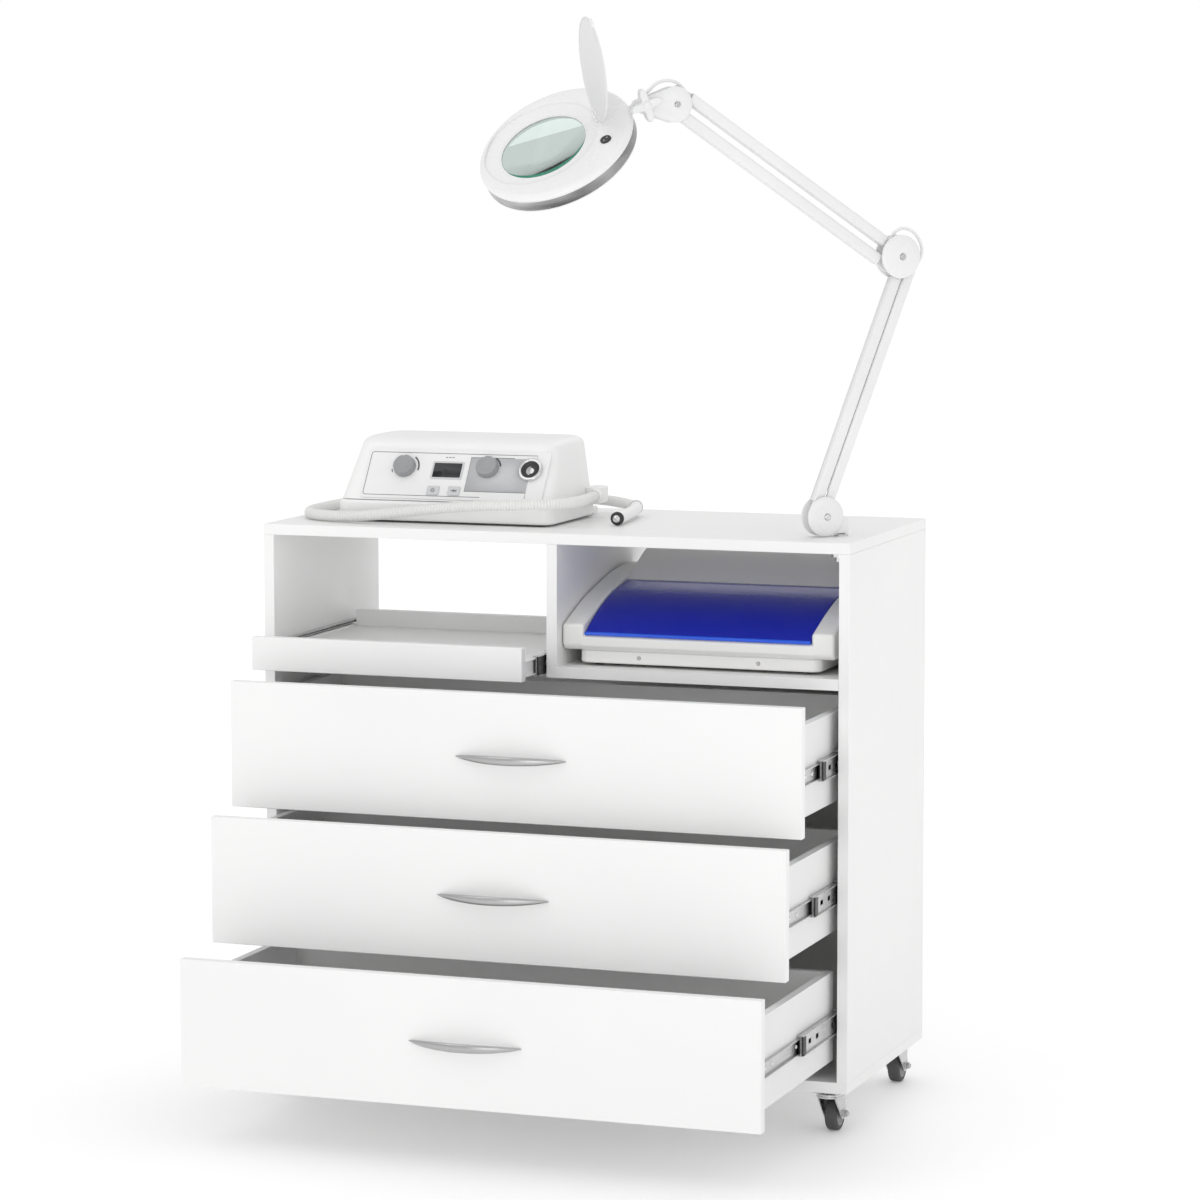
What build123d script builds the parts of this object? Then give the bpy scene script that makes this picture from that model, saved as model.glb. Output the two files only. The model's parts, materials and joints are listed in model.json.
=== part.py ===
from build123d import *
from math import atan2, cos, degrees, pi, radians, sin, sqrt, tan
import os

os.makedirs("parts", exist_ok=True)

# Everything is modelled round the middle of the cabinet's footprint, +X to its right, +Y to its
# back, with the floor at z = 0. save() then moves each piece to the frame's own origin.
mid_x, mid_y = -27.35, 179.0

# Cabinet boards
width, depth, height = 900.0, 396.0, 854.0
board = 16.0
castor_height = 66.0
back, front = depth / 2, -depth / 2
inner_x = width / 2 - board
floor_top = castor_height + board
ceiling = height - board
shelf_top = 661.0
divider_left, divider_right = -5.0, 11.0
back_board, back_inset = 5.0, 14.0

# Drawer fronts: bottom edge, and how far each stands open
front_height = 183.0
front_half = inner_x - 3.0
drawers = {
    "top": (458.5, 163.0),
    "middle": (272.0, 234.0),
    "bottom": (85.5, 342.0),
}
side_height, side_below_top = 129.0, 30.0
rail_below_top = 102.0
side_board, panel = 12.0, 5.0

# Ball-bearing slides
rail_length, rail_gauge, rail_space = 350.0, 1.2, 12.7
rail_start = front + board + 2.0
box_half = inner_x - rail_space

# Pull-out tray over the left bay
tray_open = 90.0
tray_board_bottom = 656.0
tray_front_bottom, tray_front_height = 648.5, 49.0
tray_depth, rim_height = 366.0, 25.0

# Castors: swivel axis from the cabinet's middle, wheel trailing behind it
castor_x, castor_front, castor_rear, trail = 415.0, -166.0, 160.0, 24.0
wheel_r, wheel_half, axle_r = 25.0, 9.0, 3.0
leg_in, leg_out = 11.5, 14.0
kingpin_r, crown_r = 5.0, 20.5
pedal_pivot = (26.0, 54.2)
running = 0.05

# Lamp: its arms lie in an upright plane through the pin, turned 45 degrees to the front edge.
# Points in that plane are (along, up) from the pin on the top; bars are given by their pivots.
pin_x, pin_y = 405.45, -94.25
half_root = sqrt(0.5)
arm_plane = Plane(
    origin=(pin_x, pin_y, height),
    x_dir=(half_root, half_root, 0),
    z_dir=(half_root, -half_root, 0),
)
pin_r, pin_low = 6.0, -37.0
base_c, base_r = (-30.2, 29.3), 28.5
elbow_c, elbow_r = (89.3, 396.1), 31.0
head_c, head_r = (-267.4, 611.5), 25.0
tilt_c = (-318.6, 610.0)
disc_in, disc_out = 9.0, 17.0
lug_in, lug_out, lug_r, pivot_r = 1.5, 6.5, 7.0, 2.5
bar_wide, bar_half, neck = 16.0, 7.0, 22.0
lower_span = (140.2, 352.1)
upper_span = (-340.9, 223.8)
lower_rear_base = (-47.45, 31.4)
lower_front_base = (-23.75, 44.4)
upper_top_elbow = (83.0, 407.5)
upper_bottom_elbow = (74.0, 381.5)

# Lamp head: its own plane has x towards the stem and z out of the lens
shade = Plane(origin=(72.6, -366.5, 1415.4), x_dir=(0.839, 0.318, 0.441), z_dir=(-0.139, -0.660, 0.738))
shade_r, shell_tall, band_tall = 113.0, 10.0, 16.0
lens_x, lens_y, lens_r = -17.0, 5.0, 62.0
stem_z, stem_r, socket_r = -10.1, 4.0, 6.5
stem_x0, stem_x1 = 103.0, 126.6
hinge_x, hinge_z = 65.0, 7.0
cover_r, cover_open = 72.0, 110.0
switch_x, switch_y, switch_r = 64.0, -52.0, 8.0

# Drill unit on the left of the top; its fascia leans back
unit_x0, unit_x1, unit_y0, unit_y1 = -365.0, -25.0, -125.0, 70.0
unit_z0, seam_z, ridge_z = 857.0, 887.0, 977.0
ledge_y, ledge_z = 108.0, 866.0
fascia_lean = 34.0
fascia = Plane(
    origin=(0, unit_y0 + 5, seam_z),
    x_dir=(1, 0, 0),
    z_dir=(0, -cos(radians(fascia_lean)), sin(radians(fascia_lean))),
)
fascia_rise = 90.0
speed_c, suction_c, inlet_c = (-268.0, 55.0), (-137.0, 57.0), (-69.0, 55.0)
power_c, mode_c = (-215.3, 16.8), (-182.4, 16.9)
button_w, button_h = 19.0, 15.0
knob_r, knob_tall = 17.0, 15.0
socket_x, socket_y, socket_z = -12.0, 30.0, 888.0
hose_r = 8.5

# Steriliser in the right-hand niche
uv_x0, uv_x1, cheek = 12.5, 421.5, 33.0
uv_front, uv_back = -180.0, 140.0
uv_tub_z, uv_step, uv_foot = 665.5, 684.0, 4.5
uv_hinge = (8.0, 764.0)
lid_gap = 1.5


def save(piece, name):
    """Moves a finished piece to the frame's origin, labels it and writes its STEP file."""
    placed = piece.moved(Location((mid_x, mid_y, 0)))
    placed.label = name
    export_step(placed, f"parts/{name}.step")


def block(x0, x1, y0, y1, z0, z1, mode=Mode.ADD):
    """Adds a box between two corners to the part being built, or cuts it away."""
    with Locations(((x0 + x1) / 2, (y0 + y1) / 2, (z0 + z1) / 2)):
        Box(x1 - x0, y1 - y0, z1 - z0, mode=mode)


def rail(wall_x, inward, web, lip, half, y0, y1, z):
    """Adds a C-section rail. web and lip are (near, far) distances from the cabinet wall."""
    with BuildSketch(Plane.XZ.offset(-y0)) as section:
        with Locations((wall_x + inward * sum(web) / 2, z)):
            Rectangle(web[1] - web[0], 2 * half)
        lip_x = wall_x + inward * sum(lip) / 2
        with Locations((lip_x, z + half - rail_gauge / 2), (lip_x, z - half + rail_gauge / 2)):
            Rectangle(lip[1] - lip[0], rail_gauge)
    extrude(section.sketch, amount=y0 - y1)


def outer_rail(wall_x, inward, z):
    rail(wall_x, inward, (0.1, 0.1 + rail_gauge), (0.1, 10.6), 17.5, rail_start, rail_start + rail_length, z)


def middle_rail(wall_x, inward, shift, z):
    y0 = rail_start - shift
    rail(wall_x, inward, (5.2, 5.2 + rail_gauge), (2.0, 10.8), 14.6, y0, y0 + rail_length, z)
    for along in (40, 75, 150, 200, 275, 310):
        with Locations((wall_x + inward * 5.8, y0 + along, z)):
            Box(6, 12, 7, mode=Mode.SUBTRACT)


def inner_rail(wall_x, inward, shift, z):
    y0 = rail_start - shift
    rail(wall_x, inward, (11.4, 12.6), (7.2, 12.6), 11.2, y0, y0 + rail_length, z)


# --- Cabinet ---------------------------------------------------------------------------------

with BuildPart() as side_panels:
    for side in (-1, 1):
        x0, x1 = sorted((side * inner_x, side * width / 2))
        block(x0, x1, front, back, floor_top + 0.05, ceiling - 0.05)
    chamfer(side_panels.edges().filter_by(Axis.Z), 0.6)
save(side_panels.part, "side_panels")

with BuildPart() as top_panel:
    block(-width / 2, width / 2, front, back, ceiling, height)
    with Locations((pin_x, pin_y, height)):
        Hole(8.0)
    chamfer(top_panel.edges().filter_by(GeomType.LINE), 0.6)
save(top_panel.part, "top_panel")

with BuildPart() as bottom_panel:
    block(-width / 2, width / 2, front, back, castor_height, floor_top)
    chamfer(bottom_panel.edges(), 0.6)
save(bottom_panel.part, "bottom_panel")

with BuildPart() as niche_boards:
    block(divider_left, divider_right, front, back, shelf_top - board, ceiling - 0.1)
    block(divider_right + 0.1, inner_x - 0.1, front, back, shelf_top - board, shelf_top)
save(niche_boards.part, "niche_boards")

with BuildPart() as back_panel:
    half_back = inner_x - 0.1
    back_face = back - back_inset
    block(-half_back, half_back, back_face, back_face + back_board, floor_top + 0.1, shelf_top - board - 0.1)
save(back_panel.part, "back_panel")

tray_rail_z = tray_board_bottom + board / 2
with BuildPart() as slide_outer_members:
    for bottom, _ in drawers.values():
        for side in (-1, 1):
            outer_rail(side * inner_x, -side, bottom + front_height - rail_below_top)
    outer_rail(-inner_x, 1, tray_rail_z)
    outer_rail(divider_left, -1, tray_rail_z)
save(slide_outer_members.part, "slide_outer_members")


# --- Drawers ---------------------------------------------------------------------------------


def handle(y, z):
    """A crescent pull: a bow in plan and a slim leaf in front view, meeting the front at both tips."""
    with BuildPart() as pull:
        with BuildSketch(Plane.XY.offset(z - 10)):
            with BuildLine():
                ThreePointArc((-81, y), (2, y - 27), (85, y))
                Line((85, y), (68, y))
                ThreePointArc((68, y), (2, y - 20.5), (-64, y))
                Line((-64, y), (-81, y))
            make_face()
        extrude(amount=20)
        with BuildSketch(Plane.XZ.offset(-y + 40)):
            with BuildLine():
                ThreePointArc((-82, z + 1.5), (2, z + 6.5), (86, z + 1.5))
                Line((86, z + 1.5), (86, z - 1.5))
                ThreePointArc((86, z - 1.5), (2, z - 6.5), (-82, z - 1.5))
                Line((-82, z - 1.5), (-82, z + 1.5))
            make_face()
        extrude(amount=-80, mode=Mode.INTERSECT)
    return pull.part


for name, (bottom, shift) in drawers.items():
    face = front - shift
    top = bottom + front_height
    box_front = face + board + 0.1
    box_back = rail_start - shift + rail_length - 2
    side_top = top - side_below_top
    side_bottom = side_top - side_height
    rail_z = top - rail_below_top

    with BuildPart() as drawer_front:
        block(-front_half, front_half, face, face + board, bottom, top)
        chamfer(drawer_front.edges(), 0.8)
    save(drawer_front.part, f"{name}_drawer_front")

    with BuildPart() as drawer_box:
        for side in (-1, 1):
            x0, x1 = sorted((side * (box_half - side_board), side * (box_half - 0.05)))
            block(x0, x1, box_front, box_back, side_bottom, side_top)
        in_half = box_half - side_board - 0.1
        block(-in_half, in_half, box_back - side_board, box_back, side_bottom, side_top)
        block(-in_half, in_half, box_front, box_front + side_board, side_bottom, side_top)
        base_z = side_bottom + 10
        base_y0, base_y1 = box_front + side_board + 0.1, box_back - side_board - 0.1
        block(-in_half, in_half, base_y0, base_y1, base_z, base_z + panel)
    save(drawer_box.part, f"{name}_drawer_box")

    with BuildPart() as slide_inner:
        for side in (-1, 1):
            inner_rail(side * inner_x, -side, shift, rail_z)
    save(slide_inner.part, f"{name}_slide_inner")

    with BuildPart() as slide_middle:
        for side in (-1, 1):
            middle_rail(side * inner_x, -side, shift / 2, rail_z)
    save(slide_middle.part, f"{name}_slide_middle")

    save(handle(face - 0.05, bottom + front_height / 2), f"{name}_handle")


# --- Pull-out tray ---------------------------------------------------------------------------

tray_face = front - tray_open
tray_x0, tray_x1 = -inner_x + rail_space, divider_left - rail_space
with BuildPart() as tray_front:
    front_top = tray_front_bottom + tray_front_height
    block(-inner_x + 4, divider_left - 4, tray_face, tray_face + board, tray_front_bottom, front_top)
    chamfer(tray_front.edges(), 0.8)
save(tray_front.part, "tray_front")

tray_y0 = tray_face + board + 0.1
tray_y1 = tray_y0 + tray_depth
with BuildPart() as tray_board:
    tray_top = tray_board_bottom + board
    block(tray_x0 + 0.05, tray_x1 - 0.05, tray_y0, tray_y1, tray_board_bottom, tray_top)
    block(tray_x0 + 0.05, tray_x1 - 0.05, tray_y1 - board, tray_y1, tray_top + 0.1, tray_top + rim_height)
    inner_rail(-inner_x, 1, tray_open, tray_rail_z)
    inner_rail(divider_left, -1, tray_open, tray_rail_z)
save(tray_board.part, "tray_board")

with BuildPart() as tray_slide_middle:
    middle_rail(-inner_x, 1, tray_open / 2, tray_rail_z)
    middle_rail(divider_left, -1, tray_open / 2, tray_rail_z)
save(tray_slide_middle.part, "tray_slide_middle")


# --- Castors ---------------------------------------------------------------------------------

castors = {
    "front_left": (-castor_x, castor_front),
    "front_right": (castor_x, castor_front),
    "rear_left": (-castor_x, castor_rear),
    "rear_right": (castor_x, castor_rear),
}


def rod(x0, x1, y, z, radius):
    """Adds a round bar that lies along X."""
    with BuildSketch(Plane.YZ.offset(x0)) as end:
        with Locations((y, z)):
            Circle(radius)
    extrude(end.sketch, amount=x1 - x0)


with BuildPart() as castor_plates:
    for x, y in castors.values():
        block(x - 21, x + 21, y - 25, y + 25, castor_height - 2.6, castor_height - 0.1)
        for z0, radius, tall in ((53.0, kingpin_r, 11.0), (50.6, 7.0, 2.6), (60.9, 15.0, 3.0)):
            with BuildSketch(Plane.XY.offset(z0)):
                with Locations((x, y)):
                    Circle(radius)
            extrude(amount=tall)
save(castor_plates.part, "castor_plates")

for name, (x, y) in castors.items():
    wheel_y = y + trail
    pedal_y, pedal_z = y + pedal_pivot[0], pedal_pivot[1]
    braked = name.startswith("front")

    with BuildPart() as fork:
        with BuildSketch(Plane.XY.offset(53.4)):
            with Locations((x, y)):
                Circle(crown_r)
        extrude(amount=7.2)
        for leg_x in (x - leg_out, x + leg_in):
            with BuildSketch(Plane.YZ.offset(leg_x)):
                with BuildLine():
                    Polyline(
                        (y - 14, 60), (y - 14, 50), (wheel_y - 8, 21), (wheel_y + 6, 18),
                        (wheel_y + 9, 28), (y + 31, 50), (y + 31, 57), (y + 14, 60), (y - 14, 60),
                    )
                make_face()
            extrude(amount=leg_out - leg_in)
        with BuildSketch(Plane.XY.offset(50)):
            with Locations((x, y)):
                Circle(kingpin_r + running)
        extrude(amount=12, mode=Mode.SUBTRACT)
        rod(x - leg_out - 2, x + leg_out + 8, wheel_y, wheel_r, axle_r)
        with BuildSketch(Plane.YZ.offset(x + leg_out)):
            with Locations((wheel_y, wheel_r)):
                RegularPolygon(5.2, 6)
        extrude(amount=5)
        if braked:
            rod(x - leg_out, x + leg_out, pedal_y, pedal_z, 1.5)
    save(fork.part, f"{name}_castor_fork")

    with BuildPart() as wheel:
        rings = ((wheel_r, 18.3, wheel_half), (18.2, axle_r + running, wheel_half + 1.5))
        for outer, inner, half in rings:
            with BuildSketch(Plane.YZ.offset(x - half)):
                with Locations((wheel_y, wheel_r)):
                    Circle(outer)
                    Circle(inner, mode=Mode.SUBTRACT)
            extrude(amount=2 * half)
        circles = wheel.edges().filter_by(GeomType.CIRCLE)
        fillet(circles.filter_by(lambda edge: edge.radius > wheel_r - 1), 4)
    save(wheel.part, f"{name}_castor_wheel")

    if braked:
        with BuildPart() as pedal:
            rod(x - 11, x + 11, pedal_y, pedal_z, 3.6)
            with BuildSketch(Plane.YZ.offset(x - 11)):
                with BuildLine():
                    Polyline(
                        (pedal_y, 54), (y + 50, 55), (y + 69, 60), (y + 70, 63.5),
                        (y + 48, 58.5), (pedal_y, 57.5), (pedal_y, 54),
                    )
                make_face()
            extrude(amount=22)
            with BuildSketch(Plane.YZ.offset(x - 11)):
                with Locations((pedal_y, pedal_z)):
                    Circle(1.5 + running)
            extrude(amount=22, mode=Mode.SUBTRACT)
        save(pedal.part, f"{name}_brake_pedal")


# --- Lamp ------------------------------------------------------------------------------------


def at(n):
    """The arm plane moved n towards the lamp's front."""
    return arm_plane.offset(n)


def stretch(start, along, a, b):
    """The two ends of the part of a bar between a and b from its start."""
    length = sqrt(along[0] ** 2 + along[1] ** 2)
    return [(start[0] + along[0] * t / length, start[1] + along[1] * t / length) for t in (a, b)]


def strip(ends, wide):
    """Draws a rectangle of the given width along a line between two points."""
    (x0, y0), (x1, y1) = ends
    length = sqrt((x1 - x0) ** 2 + (y1 - y0) ** 2)
    tilt = degrees(atan2(y1 - y0, x1 - x0))
    with Locations(Location(((x0 + x1) / 2, (y0 + y1) / 2, 0), (0, 0, tilt))):
        Rectangle(length, wide)


def bar(start, along, lug, open_end):
    """One arm bar: a channel between two flat lugs with a pivot hole each."""
    length = sqrt(along[0] ** 2 + along[1] ** 2)
    end = (start[0] + along[0], start[1] + along[1])
    with BuildPart() as piece:
        with BuildSketch(at(-bar_half)):
            strip(stretch(start, along, neck, length - neck), bar_wide)
        extrude(amount=2 * bar_half)
        with BuildSketch(at(-bar_half)):
            strip(stretch(start, along, neck + 4, length - neck - 4), bar_wide - 4)
        extrude(amount=2 * bar_half - 2, mode=Mode.SUBTRACT)
        with BuildSketch(at(lug[0])):
            for centre in (start, end):
                with Locations(centre):
                    Circle(lug_r)
            strip(stretch(start, along, 0, neck + 3), 2 * lug_r)
            strip(stretch(start, along, length - neck - 3, length), 2 * lug_r)
        extrude(amount=lug[1] - lug[0])
        for centre, loose in ((start, running), (end, open_end)):
            with BuildSketch(at(lug[0])):
                with Locations(centre):
                    Circle(pivot_r + loose)
            extrude(amount=lug[1] - lug[0], mode=Mode.SUBTRACT)
    return piece.part


def disc_pair(centre, radius):
    """Adds a knuckle's two cheeks to the part being built."""
    for n0 in (disc_in, -disc_out):
        with BuildSketch(at(n0)) as cheek_face:
            with Locations(centre):
                Circle(radius)
        extrude(cheek_face.sketch, amount=disc_out - disc_in)


def pivot(centre, front):
    """Adds a pivot pin that stands on the inside of one cheek."""
    with BuildSketch(at(0.5 if front else -disc_in)) as end:
        with Locations(centre):
            Circle(pivot_r)
    extrude(end.sketch, amount=disc_in - 0.5)


front_lug = (lug_in, lug_out)
rear_lug = (-lug_out, -lug_in)
lower_rear_elbow = (lower_rear_base[0] + lower_span[0], lower_rear_base[1] + lower_span[1])
lower_front_elbow = (lower_front_base[0] + lower_span[0], lower_front_base[1] + lower_span[1])
upper_top_head = (upper_top_elbow[0] + upper_span[0], upper_top_elbow[1] + upper_span[1])
upper_bottom_head = (upper_bottom_elbow[0] + upper_span[0], upper_bottom_elbow[1] + upper_span[1])

with BuildPart() as lamp_bush:
    for z0, tall, radius in ((ceiling - 21, 38, 7.9), (ceiling - 14, 13.9, 14.0), (height + 0.1, 2.8, 10.5)):
        with BuildSketch(Plane.XY.offset(z0)):
            with Locations((pin_x, pin_y)):
                Circle(radius)
        extrude(amount=tall)
    with BuildSketch(Plane.XY.offset(ceiling - 30)):
        with Locations((pin_x, pin_y)):
            Circle(pin_r + running)
    extrude(amount=60, mode=Mode.SUBTRACT)
save(lamp_bush.part, "lamp_bush")

with BuildPart() as lamp_base_knuckle:
    disc_pair(base_c, base_r)
    for centre_u, long, half in ((-14, 12, disc_in), (-2, 24, 7)):
        with BuildSketch(at(-half)):
            with Locations((centre_u, 15)):
                Rectangle(long, 22)
        extrude(amount=2 * half)
    pivot(lower_rear_base, True)
    pivot(lower_front_base, True)
    with BuildSketch(Plane.XY.offset(height + pin_low)):
        with Locations((pin_x, pin_y)):
            Circle(pin_r)
    extrude(amount=20 - pin_low)
save(lamp_base_knuckle.part, "lamp_base_knuckle")

save(bar(lower_rear_base, lower_span, front_lug, 0.35), "lower_bar_rear")
save(bar(lower_front_base, lower_span, front_lug, running), "lower_bar_front")
save(bar(upper_top_elbow, upper_span, rear_lug, running), "upper_bar_top")
save(bar(upper_bottom_elbow, upper_span, rear_lug, 0.35), "upper_bar_bottom")

# The lead's loop stays clear of the lower bars as they fold
cable_r, loop_n = 2.6, -1.6
cable_loop = ((14, 22), (43, 7), (28, -12))
with BuildPart() as elbow_knuckle:
    disc_pair(elbow_c, elbow_r)
    with BuildSketch(at(-disc_in)):
        with Locations((elbow_c[0] + 14, elbow_c[1] + 20)):
            Circle(5)
    extrude(amount=2 * disc_in)
    for centre in (lower_rear_elbow, lower_front_elbow):
        pivot(centre, True)
    for centre in (upper_top_elbow, upper_bottom_elbow):
        pivot(centre, False)
    with BuildLine(at(loop_n)) as loop:
        ThreePointArc(*[(elbow_c[0] + dx, elbow_c[1] + dy) for dx, dy in cable_loop])
    with BuildSketch(Plane(origin=loop.line @ 0, z_dir=loop.line % 0)):
        Circle(cable_r)
    sweep(path=loop.line)
save(elbow_knuckle.part, "elbow_knuckle")

ear_in, ear_out, ear_r = 7.6, 11.6, 7.5
with BuildPart() as head_knuckle:
    disc_pair(head_c, head_r)
    with BuildSketch(at(-disc_in)):
        with Locations((head_c[0] - 17, head_c[1] - 1)):
            Rectangle(9, 17)
    extrude(amount=2 * disc_in)
    for n0 in (ear_in, -ear_out):
        with BuildSketch(at(n0)):
            strip((tilt_c, (head_c[0] - 16, head_c[1] - 1)), 2 * ear_r)
            with Locations(tilt_c):
                Circle(ear_r)
                Circle(3 + running, mode=Mode.SUBTRACT)
        extrude(amount=ear_out - ear_in)
    pivot(upper_top_head, False)
    pivot(upper_bottom_head, False)
save(head_knuckle.part, "head_knuckle")

knob_n, knob_thick = 15.0, 11.0
with BuildPart() as star_knob:
    with BuildSketch(at(ear_out + 0.4)):
        with Locations(tilt_c):
            Circle(8)
    extrude(amount=knob_n - ear_out)
    with BuildSketch(at(knob_n)):
        with Locations(tilt_c):
            Circle(11)
            with PolarLocations(15, 4, start_angle=20):
                Circle(7)
    extrude(amount=knob_thick)
    with BuildSketch(at(-knob_n)):
        with Locations(tilt_c):
            Circle(3)
    extrude(amount=2 * knob_n)
save(star_knob.part, "star_knob")

stem = Plane(origin=shade.from_local_coords(Vector(stem_x0, 0, stem_z)), x_dir=shade.y_dir, z_dir=shade.x_dir)
with BuildPart() as head_link:
    with BuildSketch(at(0.2 - ear_in)):
        with Locations(tilt_c):
            Circle(7.0)
    extrude(amount=2 * ear_in - 0.4)
    with BuildSketch(stem):
        Circle(stem_r)
    extrude(amount=stem_x1 - stem_x0)
    with BuildSketch(at(-ear_in)):
        with Locations(tilt_c):
            Circle(3 + running)
    extrude(amount=2 * ear_in, mode=Mode.SUBTRACT)
save(head_link.part, "head_link")

with BuildPart() as head_shell:
    with BuildSketch(shade.offset(-shell_tall)):
        Circle(shade_r)
        with Locations((lens_x, lens_y)):
            Circle(lens_r + 4, mode=Mode.SUBTRACT)
    extrude(amount=shell_tall)
    with BuildSketch(stem):
        Circle(socket_r)
    extrude(amount=shade_r + 1.5 - stem_x0)
    with BuildSketch(stem):
        Circle(stem_r + running)
    extrude(amount=20, mode=Mode.SUBTRACT)
    with BuildSketch(shade.offset(-shell_tall - 1)):
        with Locations((switch_x, switch_y)):
            Circle(switch_r + 0.3)
    extrude(amount=shell_tall + 2, mode=Mode.SUBTRACT)
    hinge_line = Plane(
        origin=shade.from_local_coords(Vector(hinge_x, -16, hinge_z)), x_dir=shade.x_dir, z_dir=shade.y_dir
    )
    for side in (-1, 1):
        with BuildSketch(shade.offset(-2)):
            with Locations((hinge_x, side * 12)):
                Rectangle(6, 4)
        extrude(amount=hinge_z + 5.5)
    with BuildSketch(hinge_line):
        Circle(1.5)
    extrude(amount=32)
    with BuildSketch(shade.offset(-shell_tall - band_tall - 3)):
        Circle(shade_r - 2)
        Circle(lens_r + 22, mode=Mode.SUBTRACT)
    extrude(amount=2.9)
save(head_shell.part, "head_shell")

with BuildPart() as head_ring:
    with BuildSketch(shade.offset(-shell_tall - band_tall)):
        Circle(shade_r - 1)
        Circle(shade_r - 3, mode=Mode.SUBTRACT)
    extrude(amount=band_tall - 0.1)
    with BuildSketch(stem):
        Circle(socket_r + 0.1)
    extrude(amount=20, mode=Mode.SUBTRACT)
save(head_ring.part, "head_ring")

lens_ball, lens_top, lens_bottom = 440.0, 0.5, -13.0
with BuildPart() as lens:
    with BuildSketch(shade.offset(lens_bottom)):
        with Locations((lens_x, lens_y)):
            Circle(lens_r + 3.9)
    extrude(amount=lens_top - lens_bottom)
    for ball_z in (lens_top - lens_ball, lens_bottom + lens_ball):
        with Locations(shade.from_local_coords(Vector(lens_x, lens_y, ball_z))):
            Sphere(lens_ball, mode=Mode.INTERSECT)
save(lens.part, "lens")

turn = radians(cover_open)
cover_out = shade.x_dir * -cos(turn) + shade.z_dir * sin(turn)
cover_face = shade.x_dir * sin(turn) + shade.z_dir * cos(turn)
hinge_at = shade.from_local_coords(Vector(hinge_x, 0, hinge_z))
cover_plane = Plane(origin=hinge_at, x_dir=cover_out, z_dir=cover_face)
with BuildPart() as lens_cover:
    with BuildSketch(cover_plane.offset(-1.5)):
        with Locations((cover_r + 4, 0)):
            Circle(cover_r)
    extrude(amount=5)
    with BuildSketch(cover_plane.offset(-1.5)):
        with Locations((2 * cover_r + 6, 0)):
            Rectangle(8, 18)
    extrude(amount=4)
    with BuildSketch(cover_plane.offset(-1.5)):
        with Locations((5, 0)):
            Rectangle(14, 19)
    extrude(amount=3)
    with BuildSketch(Plane(origin=hinge_at - shade.y_dir * 9.5, x_dir=shade.x_dir, z_dir=shade.y_dir)):
        Circle(3.2)
    extrude(amount=19)
    with BuildSketch(Plane(origin=hinge_at - shade.y_dir * 12, x_dir=shade.x_dir, z_dir=shade.y_dir)):
        Circle(1.5 + running)
    extrude(amount=24, mode=Mode.SUBTRACT)
save(lens_cover.part, "lens_cover")

with BuildPart() as head_switch:
    with BuildSketch(shade.offset(-6)):
        with Locations((switch_x, switch_y)):
            Circle(switch_r)
    extrude(amount=8)
save(head_switch.part, "head_switch")


# --- Drill unit ------------------------------------------------------------------------------

rise_y, rise_z = sin(radians(fascia_lean)) * fascia_rise, cos(radians(fascia_lean)) * fascia_rise
crest_y, crest_z = unit_y0 + 5 + rise_y, seam_z + rise_z
shell_wall, side_lean = 3.0, 8.0


def lid_shape(wall):
    """The unit's leaning-fronted upper shell as a solid, drawn in from its outer faces by wall."""
    with BuildSketch(Plane.YZ.offset(unit_x0)) as side_view:
        with BuildLine():
            Polyline(
                (unit_y0 + 5 + wall, seam_z + 0.2), (crest_y + wall, crest_z - wall),
                (crest_y + 30 + wall, ridge_z - 4 - wall), (unit_y1 - 12, ridge_z - wall),
                (unit_y1 - 2 - wall, ridge_z - 10 - wall), (unit_y1 - 2 - wall, seam_z + 0.2),
                (unit_y0 + 5 + wall, seam_z + 0.2),
            )
        make_face()
    with BuildSketch(Plane.XY.offset(seam_z + 0.2)) as footprint:
        with Locations(((unit_x0 + unit_x1) / 2, 0)):
            Rectangle(unit_x1 - unit_x0 - 4 - 2 * wall, 400)
    with BuildPart() as prism:
        extrude(side_view.sketch, amount=unit_x1 - unit_x0)
        extrude(footprint.sketch, amount=ridge_z - seam_z + 1, taper=side_lean, mode=Mode.INTERSECT)
    return prism.part


def through_fascia(centre, width, tall=0.0):
    """Cuts a round hole, or a rectangular one when tall is given, square to the fascia."""
    with BuildSketch(fascia.offset(-8)) as hole:
        with Locations(centre):
            if tall:
                Rectangle(width, tall)
            else:
                Circle(width)
    extrude(hole.sketch, amount=20, mode=Mode.SUBTRACT)


shell_outside, shell_inside = lid_shape(0), lid_shape(shell_wall)
with BuildPart() as drill_housing:
    block(unit_x0, unit_x1, unit_y0, unit_y1, unit_z0, seam_z)
    block(unit_x0 + 3, unit_x1 - 3, unit_y0 + 3, unit_y1 - 3, unit_z0 + 3, seam_z + 1, Mode.SUBTRACT)
    block(unit_x0 + 6, unit_x1 - 10, unit_y1 - 1, ledge_y, unit_z0, ledge_z)
    block(unit_x1 - 1, socket_x + 13, socket_y, unit_y1, socket_z - 13, socket_z + 13)
    with BuildSketch(Plane.XZ.offset(-socket_y)):
        with Locations((socket_x, socket_z)):
            Circle(hose_r + 2.5)
    extrude(amount=8)
    with BuildSketch(Plane.XY.offset(height + 0.05)):
        for x in (unit_x0 + 25, unit_x1 - 25):
            with Locations((x, unit_y0 + 25), (x, unit_y1 - 25)):
                Circle(8)
    extrude(amount=unit_z0 - height)
    add(shell_outside)
    add(shell_inside, mode=Mode.SUBTRACT)
    for centre in (speed_c, suction_c):
        through_fascia(centre, 4.0)
    for centre in (power_c, mode_c):
        through_fascia(centre, button_w + 2, button_h + 2)
save(drill_housing.part, "drill_housing")

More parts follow.
